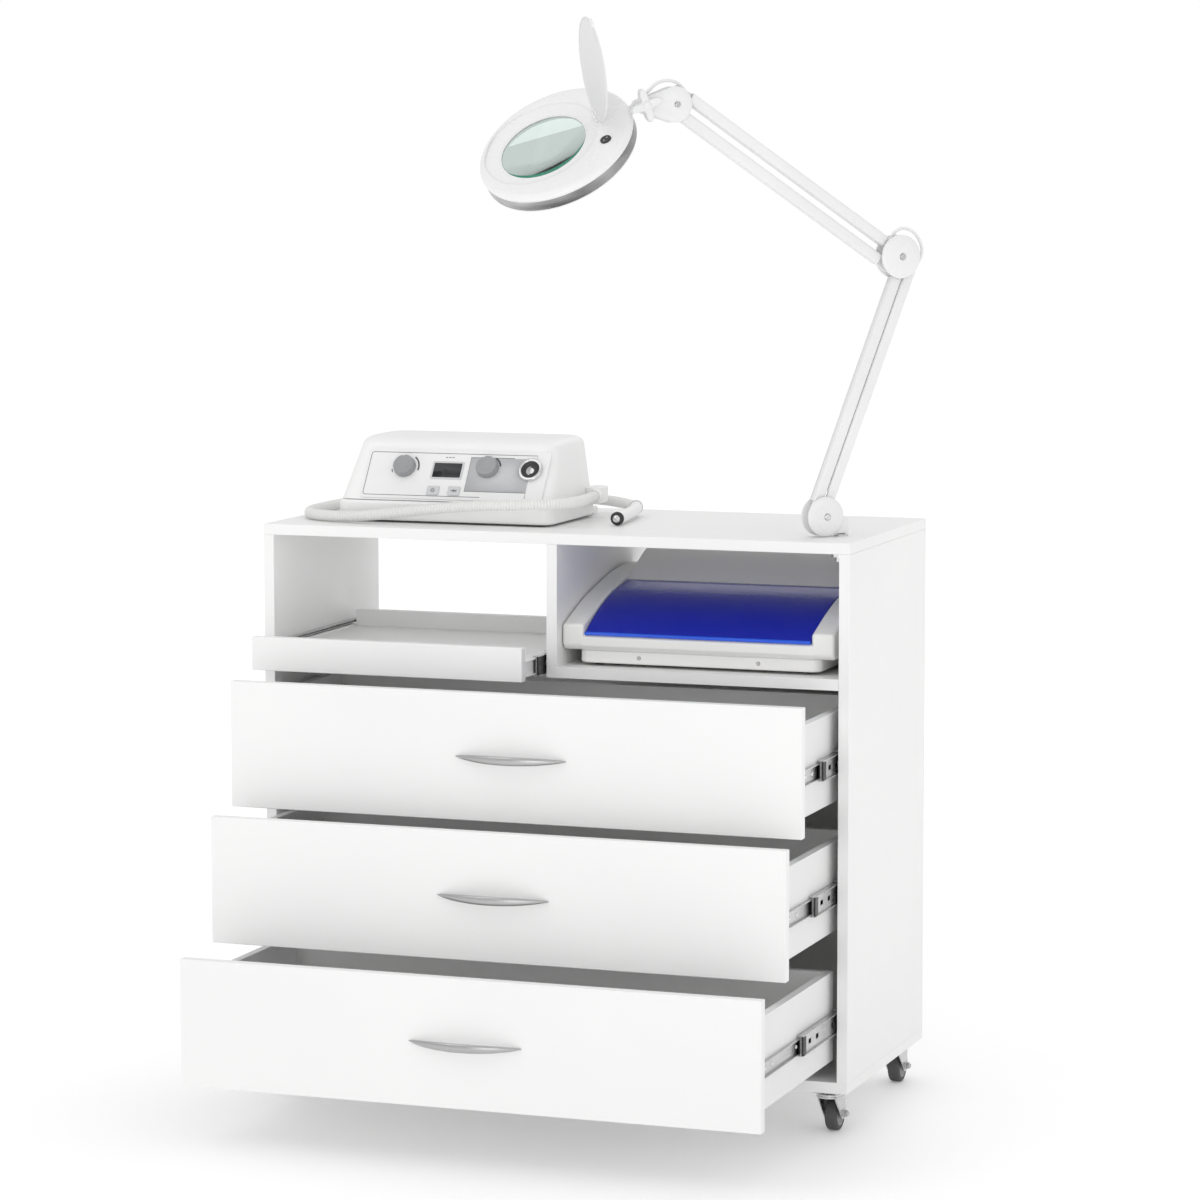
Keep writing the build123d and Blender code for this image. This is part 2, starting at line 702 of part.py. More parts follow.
with BuildPart() as drill_fascia:
    with BuildSketch(fascia.offset(0.3)):
        with Locations(((speed_c[0] + inlet_c[0]) / 2 - 18, fascia_rise / 2)):
            RectangleRounded(288, fascia_rise - 6, 6)
    extrude(amount=1.5)
    with BuildSketch(fascia.offset(0.3)):
        with Locations(inlet_c):
            Circle(18.5)
    extrude(amount=7)
    with BuildSketch(fascia.offset(5.8)):
        with Locations(inlet_c):
            Circle(14)
    extrude(amount=3, mode=Mode.SUBTRACT)
    for centre in (speed_c, suction_c):
        through_fascia(centre, 3 + running)
    for centre in (power_c, mode_c):
        through_fascia(centre, button_w + 0.6, button_h + 0.6)
save(drill_fascia.part, "drill_fascia")

for name, centre in (("knob_speed", speed_c), ("knob_suction", suction_c)):
    with BuildPart() as knob:
        with BuildSketch(fascia.offset(2.2)):
            with Locations(centre):
                Circle(knob_r)
        extrude(amount=knob_tall)
        with BuildSketch(fascia.offset(-5)):
            with Locations(centre):
                Circle(3)
        extrude(amount=8)
    save(knob.part, name)

for name, centre in (("button_power", power_c), ("button_mode", mode_c)):
    with BuildPart() as button:
        with BuildSketch(fascia.offset(-3)):
            with Locations(centre):
                RectangleRounded(button_w, button_h, 2)
        extrude(amount=6.2)
    save(button.part, name)

# The suction hose: out of the socket, round the front and left of the unit to its back ledge.
hose_route = [
    (-12, 22, 888), (-4, -28, 887), (5, -78, 885), (-3, -126, 882), (-40, -160, 879),
    (-92, -165, 875), (-146, -160, 870.5), (-200, -157, 866), (-256, -154, 863.4), (-312, -151, 862.7),
    (-366, -144, 862.6), (-411, -118, 862.6), (-431, -72, 862.6), (-434, -20, 862.6), (-428, 32, 863.4),
    (-408, 78, 867), (-368, 111, 873), (-316, 121, 876), (-262, 117, 876), (-208, 122, 876.2),
    (-154, 118, 876), (-100, 122, 876), (-48, 121, 875), (0, 112, 872), (33, 84, 869),
]


def corner_radii(points):
    """The largest arc at each inner point: 0.45 of the shorter run over the tangent of half the turn."""
    radii = []
    for before, here, after in zip(points, points[1:], points[2:]):
        run_in, run_out = Vector(*here) - Vector(*before), Vector(*after) - Vector(*here)
        half_turn = radians(run_in.get_angle(run_out)) / 2
        radii.append(0.45 * min(run_in.length, run_out.length) / tan(half_turn))
    return radii


radii = corner_radii(hose_route)
print("hose radii", [round(radius) for radius in radii])
with BuildPart() as drill_hose:
    with BuildLine() as hose_line:
        FilletPolyline(*hose_route, radius=radii)
    with BuildSketch(Plane(origin=hose_line.line @ 0, z_dir=hose_line.line % 0)):
        Circle(hose_r)
    sweep(path=hose_line.line)
hose_length = hose_line.wires()[0].length
volume_ratio = drill_hose.part.volume / (pi * hose_r**2 * hose_length)
print("hose length", round(hose_length), "volume ratio", round(volume_ratio, 4))
save(drill_hose.part, "drill_hose")

grip_route = [hose_route[-1], (47, 48, 866.2), (54.6, -60, 864.6)]
with BuildPart() as handpiece:
    with BuildLine() as grip_line:
        FilletPolyline(*grip_route, radius=60)
    with BuildSketch(Plane(origin=grip_line.line @ 0, z_dir=grip_line.line % 0)):
        Circle(10)
    sweep(path=grip_line.line)
    with BuildSketch(Plane(origin=grip_line.line @ 1, z_dir=grip_line.line % 1)):
        Circle(4)
    extrude(amount=9)
save(handpiece.part, "handpiece")


# --- Steriliser ------------------------------------------------------------------------------

# The cheeks' upper outline as (back, up) points, from the front face to the back
cheek_line = [(uv_front, 721), (-104, 747.8), (-35, 765.5), (37, 779), (100, 783)]
lid_line = [(uv_front + 1, 709), (-152, 724), (-110, 742), (-58, 757), (8, 767.5)]
hood_line = [(13, 768), (60, 792), (105, 808), (uv_back, 806)]
cheek_in0, cheek_in1 = uv_x0 + cheek, uv_x1 - cheek


def yz_prism(points, x0, x1, mode=Mode.ADD):
    """Adds the area inside a closed outline of (y, z) points, extruded along X."""
    with BuildSketch(Plane.YZ.offset(x0)) as outline:
        with BuildLine():
            Polyline(*points, points[0])
        make_face()
    extrude(outline.sketch, amount=x1 - x0, mode=mode)


with BuildPart() as steriliser_body:
    block(uv_x0 + 22, uv_x1 - 22, uv_front + 8, uv_back - 10, uv_tub_z, uv_step + 0.5)
    block(uv_x0, uv_x1, uv_front, uv_back, uv_step, uv_step + 4)
    for x0, x1 in ((uv_x0, cheek_in0), (cheek_in1, uv_x1)):
        yz_prism([*cheek_line, (uv_back, 783), (uv_back, uv_step), (uv_front, uv_step)], x0, x1)
    block(uv_x0, uv_x1, uv_front, uv_front + 10, uv_step, 707)
    yz_prism([*hood_line, (uv_back, uv_step), (uv_back - 4, uv_step), (uv_back - 4, 802), (105, 804),
              (60, 788), (16, 765)], cheek_in0 - 1, cheek_in1 + 1)
    with BuildSketch(Plane.XY.offset(shelf_top + 0.05)):
        for x in (uv_x0 + 45, uv_x1 - 45):
            with Locations((x, uv_front + 35), (x, uv_back - 40)):
                Circle(7)
    extrude(amount=uv_foot)
    for x0 in (cheek_in0 - 6, cheek_in1 + 6):
        with BuildSketch(Plane.YZ.offset(x0 if x0 < 200 else x0 - 12)):
            with Locations(uv_hinge):
                Circle(2 + running)
        extrude(amount=12, mode=Mode.SUBTRACT)
save(steriliser_body.part, "steriliser_body")

with BuildPart() as steriliser_lid:
    yz_prism([*lid_line, (lid_line[-1][0], lid_line[-1][1] - 3.5), (-58, 753.5), (-110, 738.5), (-150, 720.5),
              (uv_front + 5, 708.5)], cheek_in0 + lid_gap, cheek_in1 - lid_gap)
    rod(cheek_in0 - 4, cheek_in1 + 4, *uv_hinge, 2)
save(steriliser_lid.part, "steriliser_lid")
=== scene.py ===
import json
from math import acos, asin, atan2, cos, dist, exp, hypot, pi, radians, sin, sqrt, tan

import bmesh
import bpy
from mathutils import Matrix, Vector


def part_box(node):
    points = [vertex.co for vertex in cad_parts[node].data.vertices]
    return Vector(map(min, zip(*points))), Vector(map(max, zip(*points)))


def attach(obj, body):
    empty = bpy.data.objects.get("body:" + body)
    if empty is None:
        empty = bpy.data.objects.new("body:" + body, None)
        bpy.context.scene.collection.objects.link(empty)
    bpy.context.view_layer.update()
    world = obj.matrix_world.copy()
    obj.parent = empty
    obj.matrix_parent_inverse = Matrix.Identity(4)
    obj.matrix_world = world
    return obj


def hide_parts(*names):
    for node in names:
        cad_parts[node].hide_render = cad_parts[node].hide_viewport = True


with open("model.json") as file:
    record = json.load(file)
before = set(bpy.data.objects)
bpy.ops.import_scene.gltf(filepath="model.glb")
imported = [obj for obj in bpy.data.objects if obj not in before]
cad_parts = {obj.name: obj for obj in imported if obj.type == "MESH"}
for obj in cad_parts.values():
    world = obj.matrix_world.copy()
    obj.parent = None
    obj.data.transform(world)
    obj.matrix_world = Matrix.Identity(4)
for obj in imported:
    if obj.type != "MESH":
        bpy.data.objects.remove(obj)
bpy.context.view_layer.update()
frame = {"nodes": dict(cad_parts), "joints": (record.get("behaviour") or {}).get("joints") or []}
mm = 0.001
joints = {joint["name"]: joint for joint in frame["joints"]}
sideLow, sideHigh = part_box("side_panels")
cabinet = Vector(((sideLow.x + sideHigh.x) / 2, (sideLow.y + sideHigh.y) / 2, 0))
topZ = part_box("top_panel")[1].z
toRight, toRear, toTop = Vector((1, 0, 0)), Vector((0, 1, 0)), Vector((0, 0, 1))


# a place given in millimetres from the cabinet's middle on the floor
def spot(x, y, z):
    return cabinet + Vector((x, y, z)) * mm


def jointPoint(name):
    return Vector(joints[name]["pos_m"])


def basis(origin, xAxis, zAxis):
    zAxis = zAxis.normalized()
    xAxis = (xAxis - zAxis * xAxis.dot(zAxis)).normalized()
    yAxis = zAxis.cross(xAxis)
    return Matrix.Translation(origin) @ Matrix((xAxis, yAxis, zAxis)).transposed().to_4x4()


# a frame that stands upright at a place, and one that looks out to the right
def upright(x, y, z):
    return basis(spot(x, y, z), toRight, toTop)


def sideways(x, y, z):
    return basis(spot(x, y, z), toRear, toRight)


cameraSetup = {"x": 2131.68, "y": -5857.95, "z": 1454.72, "yaw": 0.3482, "pitch": -0.1148, "roll": -0.0017,
               "lens": 126.86, "sensor": 36, "far": 100}


def addCamera():
    c = cameraSetup
    forward = Vector((-sin(c["yaw"]) * cos(c["pitch"]), cos(c["yaw"]) * cos(c["pitch"]), sin(c["pitch"])))
    right = Vector((cos(c["yaw"]), sin(c["yaw"]), 0))
    up = right.cross(forward)
    turnedRight = right * cos(c["roll"]) + up * sin(c["roll"])
    turnedUp = up * cos(c["roll"]) - right * sin(c["roll"])
    camera = bpy.data.objects.new("camera", bpy.data.cameras.new("camera"))
    bpy.context.scene.collection.objects.link(camera)
    camera.matrix_world = Matrix.Translation(spot(c["x"], c["y"], c["z"])) @ Matrix(
        (turnedRight, turnedUp, -forward)).transposed().to_4x4()
    camera.data.lens = c["lens"]
    camera.data.sensor_width = c["sensor"]
    camera.data.clip_end = c["far"]
    bpy.context.scene.camera = camera


# soft boxes all round the cabinet, placed in millimetres, with their widths in metres
lightAim = (0, -100, 750)
roomGlow = 0.78
softBox = {
    "key": {"at": (-1900, -2600, 3300), "size": 2.2, "power": 13},
    "fill": {"at": (2900, -2500, 2100), "size": 2.4, "power": 7},
    "back": {"at": (600, 2600, 3000), "size": 2.2, "power": 9},
    "top": {"at": (0, -200, 3600), "size": 2.8, "power": 7},
    "front": {"at": (900, -4300, 1050), "size": 1.8, "power": 15},
}


def addLights():
    for name, box in softBox.items():
        data = bpy.data.lights.new(name, "AREA")
        data.size = box["size"]
        data.energy = box["power"]
        lamp = bpy.data.objects.new(name, data)
        bpy.context.scene.collection.objects.link(lamp)
        place = spot(*box["at"])
        aim = (spot(*lightAim) - place).to_track_quat("-Z", "Y")
        lamp.matrix_world = Matrix.Translation(place) @ aim.to_matrix().to_4x4()
    world = bpy.data.worlds.new("studio")
    world.use_nodes = True
    tree = world.node_tree
    tree.nodes["Background"].inputs["Color"].default_value = (*grey(1.0), 1)
    tree.nodes["Background"].inputs["Strength"].default_value = roomGlow
    backdrop = tree.nodes.new("ShaderNodeBackground")
    backdrop.inputs["Color"].default_value = (*grey(1.0), 1)
    seen = tree.nodes.new("ShaderNodeLightPath")
    choose = tree.nodes.new("ShaderNodeMixShader")
    tree.links.new(seen.outputs["Is Camera Ray"], choose.inputs["Fac"])
    tree.links.new(tree.nodes["Background"].outputs[0], choose.inputs[1])
    tree.links.new(backdrop.outputs[0], choose.inputs[2])
    tree.links.new(choose.outputs[0], tree.nodes["World Output"].inputs["Surface"])
    bpy.context.scene.world = world
    bpy.context.scene.view_settings.view_transform = "Standard"


def grey(value):
    return (value, value, value)


# links a socket to an input, or sets the input to a plain value
def feed(tree, target, source):
    if hasattr(source, "is_linked"):
        tree.links.new(source, target)
    else:
        target.default_value = source


def newGroup(name, inputs, outputs):
    group = bpy.data.node_groups.new(name, "ShaderNodeTree")
    for socketName, kind, value in inputs:
        socket = group.interface.new_socket(socketName, in_out="INPUT", socket_type=kind)
        if value is not None:
            socket.default_value = value
    for socketName, kind in outputs:
        group.interface.new_socket(socketName, in_out="OUTPUT", socket_type=kind)
    return group, group.nodes.new("NodeGroupInput"), group.nodes.new("NodeGroupOutput")


def noiseNode(tree, vector, scale, detail=4.0):
    noise = tree.nodes.new("ShaderNodeTexNoise")
    noise.inputs["Detail"].default_value = detail
    tree.links.new(vector, noise.inputs["Vector"])
    feed(tree, noise.inputs["Scale"], scale)
    return noise.outputs["Fac"]


def rangeNode(tree, value, low, high):
    node = tree.nodes.new("ShaderNodeMapRange")
    node.inputs["From Min"].default_value = 0.3
    node.inputs["From Max"].default_value = 0.7
    tree.links.new(value, node.inputs["Value"])
    for socket, source in (("To Min", low), ("To Max", high)):
        feed(tree, node.inputs[socket], source)
    return node.outputs["Result"]


def colourMix(tree, factor, first, second):
    node = tree.nodes.new("ShaderNodeMix")
    node.data_type = "RGBA"
    tree.links.new(factor, node.inputs["Factor"])
    for socket, source in ((6, first), (7, second)):
        feed(tree, node.inputs[socket], source)
    return node.outputs[2]


# moulded, painted or laminated surfaces: a cloudy tone, a fine grain and a few soft handling marks
def buildGrainGroup():
    tree, given, result = newGroup("surfaceGrain", [("Vector", "NodeSocketVector", None),
                                                    ("Grain", "NodeSocketFloat", 900.0),
                                                    ("Cloud", "NodeSocketFloat", 6.0),
                                                    ("Base", "NodeSocketColor", (0.8, 0.8, 0.8, 1)),
                                                    ("Tone", "NodeSocketColor", (0.7, 0.7, 0.7, 1)),
                                                    ("Smooth", "NodeSocketFloat", 0.3),
                                                    ("Rough", "NodeSocketFloat", 0.4)],
                                   [("Color", "NodeSocketColor"), ("Roughness", "NodeSocketFloat"),
                                    ("Height", "NodeSocketFloat")])
    vector = given.outputs["Vector"]
    cloud = noiseNode(tree, vector, given.outputs["Cloud"], 3.0)
    fine = noiseNode(tree, vector, given.outputs["Grain"], 2.0)
    smear = noiseNode(tree, vector, 38.0, 6.0)
    tree.links.new(colourMix(tree, rangeNode(tree, cloud, 0.0, 1.0), given.outputs["Base"],
                             given.outputs["Tone"]), result.inputs["Color"])
    tree.links.new(rangeNode(tree, smear, given.outputs["Smooth"], given.outputs["Rough"]),
                   result.inputs["Roughness"])
    tree.links.new(fine, result.inputs["Height"])
    return tree


# metal with a direction: streaks drawn out along X of the vector it is given
def buildStreakGroup():
    tree, given, result = newGroup(
        "metalStreak",
        [("Vector", "NodeSocketVector", None), ("Fineness", "NodeSocketFloat", 900.0),
         ("Base", "NodeSocketColor", (0.6, 0.6, 0.6, 1)), ("Tone", "NodeSocketColor", (0.5, 0.5, 0.5, 1)),
         ("Smooth", "NodeSocketFloat", 0.2), ("Rough", "NodeSocketFloat", 0.4)],
        [("Color", "NodeSocketColor"), ("Roughness", "NodeSocketFloat"), ("Height", "NodeSocketFloat")])
    stretch = tree.nodes.new("ShaderNodeMapping")
    stretch.inputs["Scale"].default_value = (0.02, 1.0, 1.0)
    tree.links.new(given.outputs["Vector"], stretch.inputs["Vector"])
    streak = noiseNode(tree, stretch.outputs["Vector"], given.outputs["Fineness"], 3.0)
    patch = noiseNode(tree, given.outputs["Vector"], 14.0, 3.0)
    tree.links.new(colourMix(tree, rangeNode(tree, streak, 0.0, 1.0), given.outputs["Base"],
                             given.outputs["Tone"]), result.inputs["Color"])
    tree.links.new(rangeNode(tree, patch, given.outputs["Smooth"], given.outputs["Rough"]),
                   result.inputs["Roughness"])
    tree.links.new(streak, result.inputs["Height"])
    return tree


grainGroup = buildGrainGroup()
streakGroup = buildStreakGroup()


def startMaterial(name):
    material = bpy.data.materials.new(name)
    material.use_nodes = True
    tree = material.node_tree
    shader = tree.nodes["Principled BSDF"]
    coords = tree.nodes.new("ShaderNodeTexCoord")
    return material, tree, shader, coords


def dressMaterial(tree, shader, group, vector, values, bump):
    node = tree.nodes.new("ShaderNodeGroup")
    node.node_tree = group
    tree.links.new(vector, node.inputs["Vector"])
    for socket, value in values.items():
        node.inputs[socket].default_value = value
    tree.links.new(node.outputs["Color"], shader.inputs["Base Color"])
    tree.links.new(node.outputs["Roughness"], shader.inputs["Roughness"])
    bumper = tree.nodes.new("ShaderNodeBump")
    bumper.inputs["Strength"].default_value = bump
    bumper.inputs["Distance"].default_value = 0.0002
    tree.links.new(node.outputs["Height"], bumper.inputs["Height"])
    tree.links.new(bumper.outputs["Normal"], shader.inputs["Normal"])
    return node


def grainMaterial(name, base, tone, smooth, rough, grain=900.0, cloud=6.0, bump=0.15, **shaderValues):
    material, tree, shader, coords = startMaterial(name)
    values = {"Grain": grain, "Cloud": cloud, "Base": (*base, 1), "Tone": (*tone, 1), "Smooth": smooth,
              "Rough": rough}
    dressMaterial(tree, shader, grainGroup, coords.outputs["Object"], values, bump)
    for socket, value in shaderValues.items():
        shader.inputs[socket.replace("_", " ")].default_value = value
    return material


def streakMaterial(name, base, tone, smooth, rough, turn=(0, 0, 0), fineness=900.0, bump=0.12,
                   **shaderValues):
    material, tree, shader, coords = startMaterial(name)
    mapping = tree.nodes.new("ShaderNodeMapping")
    mapping.inputs["Rotation"].default_value = turn
    tree.links.new(coords.outputs["Object"], mapping.inputs["Vector"])
    values = {"Fineness": fineness, "Base": (*base, 1), "Tone": (*tone, 1), "Smooth": smooth, "Rough": rough}
    dressMaterial(tree, shader, streakGroup, mapping.outputs["Vector"], values, bump)
    shader.inputs["Metallic"].default_value = 1.0
    for socket, value in shaderValues.items():
        shader.inputs[socket.replace("_", " ")].default_value = value
    return material


# each finish: its name, two tones, the smooth and rough ends of its sheen, then grain, cloud and bump
grainLooks = {
    "melamine": ("whiteMelamine", (0.90, 0.90, 0.895), (0.87, 0.87, 0.868), 0.34, 0.46, 700, 3.0, 0.10),
    "drawerBoard": ("drawerBoard", (0.86, 0.86, 0.855), (0.82, 0.82, 0.82), 0.42, 0.55, 600, 4.0, 0.12),
    "backBoard": ("backBoard", (0.80, 0.80, 0.79), (0.75, 0.75, 0.745), 0.5, 0.65, 420, 5.0, 0.3),
    "rubber": ("treadRubber", grey(0.075), grey(0.055), 0.55, 0.75, 1400, 12.0, 0.35),
    "hub": ("hubPlastic", grey(0.30), grey(0.26), 0.42, 0.58, 1100, 12.0, 0.2),
    "blackPlastic": ("blackPlastic", grey(0.02), grey(0.032), 0.35, 0.5, 1500, 12.0, 0.25),
    "lampWhite": ("lampWhite", grey(0.84), (0.82, 0.82, 0.825), 0.24, 0.34, 1500, 8.0, 0.02),
    "armPaint": ("armPowderCoat", grey(0.84), grey(0.81), 0.3, 0.42, 1300, 9.0, 0.04),
    "unitWhite": ("unitWhite", (0.885, 0.885, 0.88), (0.86, 0.86, 0.858), 0.28, 0.4, 1200, 7.0, 0.03),
    "fasciaFilm": ("fasciaFilm", grey(0.84), grey(0.81), 0.32, 0.42, 1600, 10.0, 0.08),
    "fasciaGrey": ("fasciaGrey", (0.60, 0.605, 0.62), (0.55, 0.555, 0.57), 0.35, 0.45, 1600, 10.0, 0.1),
    "fasciaInk": ("fasciaInk", grey(0.10), grey(0.07), 0.4, 0.5, 1500, 12.0, 0.05),
    "screen": ("screenGlass", (0.012, 0.014, 0.016), (0.02, 0.022, 0.026), 0.05, 0.1, 900, 10.0, 0.01),
    "keyGrey": ("keyGrey", (0.62, 0.625, 0.635), (0.58, 0.585, 0.595), 0.4, 0.52, 1400, 12.0, 0.15),
    "knobSilver": ("knobSilver", (0.34, 0.345, 0.355), (0.30, 0.305, 0.315), 0.36, 0.46, 1700, 9.0, 0.14),
    "hose": ("hosePlastic", (0.85, 0.85, 0.84), (0.80, 0.80, 0.79), 0.32, 0.44, 1300, 10.0, 0.14),
    "sterilWhite": ("steriliserWhite", (0.87, 0.87, 0.85), (0.84, 0.84, 0.82), 0.3, 0.42, 1100, 6.0, 0.14),
    "diffuser": ("lightDiffuser", grey(0.9), grey(0.86), 0.5, 0.62, 800, 9.0, 0.08),
}
# each metal: its name, two tones, the ends of its sheen, the turn of its streaks, then fineness and bump
streakLooks = {
    "zinc": ("zincSteel", grey(0.62), grey(0.48), 0.22, 0.36, (0, 0, pi / 2), 1200),
    "satinNickel": ("satinNickel", grey(0.50), grey(0.42), 0.26, 0.36, (0, 0, 0), 1800),
    "chrome": ("chromePlate", grey(0.72), grey(0.66), 0.06, 0.14, (0, 0, 0), 700, 0.03),
    "stamped": ("stampedZinc", grey(0.60), grey(0.50), 0.14, 0.28, (0, pi / 2, 0), 500, 0.06),
}
finish = {key: grainMaterial(*look) for key, look in grainLooks.items()}
finish.update({key: streakMaterial(*look) for key, look in streakLooks.items()})


def glassMaterial(name, colour, rough, ior, transmission):
    material, tree, shader, coords = startMaterial(name)
    values = {"Grain": 500.0, "Cloud": 5.0, "Base": (*colour, 1), "Tone": (*[c * 0.97 for c in colour], 1),
              "Smooth": rough, "Rough": rough + 0.03}
    dressMaterial(tree, shader, grainGroup, coords.outputs["Object"], values, 0.004)
    shader.inputs["Transmission Weight"].default_value = transmission
    shader.inputs["IOR"].default_value = ior
    return material


finish["coverWhite"] = grainMaterial("coverWhite", grey(0.76), grey(0.73), 0.42, 0.5, 300, 6.0, 0.0)
finish["lens"] = glassMaterial("lensGlass", (0.70, 0.80, 0.77), 0.01, 1.45, 1.0)
# an opaque green for the crescent that paints the reflection of the lens's glass edge
finish["paintedLensReflection"] = glassMaterial("paintedLensReflectionGlass", (0.05, 0.55, 0.36), 0.2, 1.45, 0.0)
finish["blueLid"] = glassMaterial("blueAcrylic", (0.003, 0.02, 0.60), 0.05, 1.49, 0.35)
print("materials ready")


def addMesh(name, points, faces, material, body, smooth=True, slotName=None, spun=False):
    mesh = bpy.data.meshes.new(name)
    mesh.from_pydata([tuple(point) for point in points], [], faces)
    work = bmesh.new()
    work.from_mesh(mesh)
    bmesh.ops.remove_doubles(work, verts=work.verts, dist=1e-6)
    if spun:
        bmesh.ops.dissolve_degenerate(work, edges=work.edges, dist=1e-7)
    bmesh.ops.recalc_face_normals(work, faces=work.faces)
    work.to_mesh(mesh)
    work.free()
    mesh.materials.append(finish[material])
    for face in mesh.polygons:
        face.use_smooth = smooth
    return place(name, mesh, body, slotName)


# puts a mesh in the scene on the body that carries it
def place(name, mesh, body, slotName=None):
    piece = bpy.data.objects.new(name, mesh)
    bpy.context.scene.collection.objects.link(piece)
    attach(piece, body)
    return piece


def soften(piece, width, segments=3, angle=35):
    bevel = piece.modifiers.new("bevel", "BEVEL")
    bevel.width = width * mm
    bevel.segments = segments
    bevel.limit_method = "ANGLE"
    bevel.angle_limit = radians(angle)
    bevel.harden_normals = True


# faces between rows of points that all have the same number of sides
def ringFaces(rows, sides, closed=False, caps=False):
    faces = []
    for row in range(rows if closed else rows - 1):
        below = (row + 1) % rows
        for k in range(sides):
            after = (k + 1) % sides
            faces.append((row * sides + k, row * sides + after, below * sides + after, below * sides + k))
    if caps:
        faces += [tuple(range(sides)), tuple(range((rows - 1) * sides, rows * sides))]
    return faces


# points at equal turns round a centre
def around(centre, radius, sides):
    turns = [2 * pi * k / sides for k in range(sides)]
    return [(centre[0] + radius * cos(turn), centre[1] + radius * sin(turn)) for turn in turns]


# a closed outline of (x, y) millimetres in a plane, pulled out from one height to another
def prism(name, plane, outline, low, high, material, body, slotName=None, bevel=0.0, segments=3):
    points = [plane @ Vector((x * mm, y * mm, z * mm)) for z in (low, high) for x, y in outline]
    faces = ringFaces(2, len(outline), False, True)
    piece = addMesh(name, points, faces, material, body, True, slotName)
    if bevel:
        soften(piece, bevel, segments)
    return piece


# a profile of (radius, height) millimetres spun round a plane's z axis
def lathe(name, plane, profile, material, body, slotName=None, segments=48, closed=False):
    points, faces = [], []
    rows = len(profile)
    for step in range(segments):
        turn = 2 * pi * step / segments
        points += [plane @ Vector((r * mm * cos(turn), r * mm * sin(turn), h * mm)) for r, h in profile]
        here, there = step * rows, ((step + 1) % segments) * rows
        for row in range(rows if closed else rows - 1):
            after = (row + 1) % rows
            faces.append((here + row, here + after, there + after, there + row))
    return addMesh(name, points, faces, material, body, True, slotName, True)


def roundedRect(wide, tall, radius, steps=6, centre=(0, 0)):
    outline = []
    for corner, (sx, sy) in enumerate(((1, 1), (-1, 1), (-1, -1), (1, -1))):
        for step in range(steps + 1):
            turn = pi / 2 * (corner + step / steps)
            outline.append((centre[0] + sx * (wide / 2 - radius) + radius * cos(turn),
                            centre[1] + sy * (tall / 2 - radius) + radius * sin(turn)))
    return outline


# a round tube along points, with one radius in millimetres or one for each point
def tube(name, path, radius, material, body, slotName=None, sides=24):
    points = []
    radii = radius if isinstance(radius, list) else [radius] * len(path)
    tangent = (path[1] - path[0]).normalized()
    side = tangent.orthogonal().normalized()
    for index, centre in enumerate(path):
        ahead = path[min(index + 1, len(path) - 1)] - path[max(index - 1, 0)]
        if ahead.length > 1e-9:
            turned = ahead.normalized()
            side = tangent.rotation_difference(turned) @ side
            tangent = turned
        other = tangent.cross(side)
        points += [centre + (side * x + other * y) * (radii[index] * mm)
                   for x, y in around((0, 0), 1.0, sides)]
    faces = ringFaces(len(path), sides, False, True)
    return addMesh(name, points, faces, material, body, True, slotName)


# a smooth line near a few control places, as points and as a mesh
def splinePoints(controls, resolution):
    curve = bpy.data.curves.new("route", "CURVE")
    curve.dimensions = "3D"
    spline = curve.splines.new("NURBS")
    spline.points.add(len(controls) - 1)
    for point, place in zip(spline.points, controls):
        point.co = (*place, 1)
    spline.order_u = 3
    spline.use_endpoint_u = True
    spline.resolution_u = resolution
    holder = bpy.data.objects.new("route", curve)
    bpy.context.scene.collection.objects.link(holder)
    bpy.context.view_layer.update()
    mesh = bpy.data.meshes.new_from_object(holder.evaluated_get(bpy.context.evaluated_depsgraph_get()))
    places = [vertex.co.copy() for vertex in mesh.vertices]
    bpy.data.objects.remove(holder)
    return places, mesh


hoseRoute = [
    (-12, 22, 888), (-4, -28, 889), (5, -78, 890), (-3, -124, 890), (-40, -154, 889.5),
    (-92, -160, 888), (-146, -157, 885), (-200, -156, 879.5), (-256, -154, 872), (-312, -151, 865),
    (-366, -144, 862.6), (-411, -118, 862.6), (-431, -72, 862.6), (-434, -20, 862.6), (-428, 32, 863.4),
    (-408, 78, 867), (-368, 111, 873), (-316, 121, 876), (-262, 117, 876), (-208, 122, 876.2),
    (-154, 118, 876), (-100, 122, 876), (-48, 121, 875), (0, 112, 872), (33, 84, 869),
]
# the hose in metres, as its tree and its cord need it
hoseSize = {"radius": 8.4 * mm, "depth": 1.5 * mm, "pitch": 4.4 * mm, "length": 1.24, "stepsPerRib": 6,
            "sides": 20}


def mathNode(tree, operation, *values):
    node = tree.nodes.new("ShaderNodeMath")
    node.operation = operation
    for index, value in enumerate(values):
        feed(tree, node.inputs[index], value)
    return node.outputs[0]


# every tree ends by making its instances real and giving them their finish
def paintAtEnd(tree, shape, given, result):
    realize = tree.nodes.new("GeometryNodeRealizeInstances")
    paint = tree.nodes.new("GeometryNodeSetMaterial")
    tree.links.new(shape, realize.inputs["Geometry"])
    tree.links.new(realize.outputs["Geometry"], paint.inputs["Geometry"])
    tree.links.new(given.outputs["Finish"], paint.inputs["Material"])
    tree.links.new(paint.outputs["Geometry"], result.inputs["Geometry"])


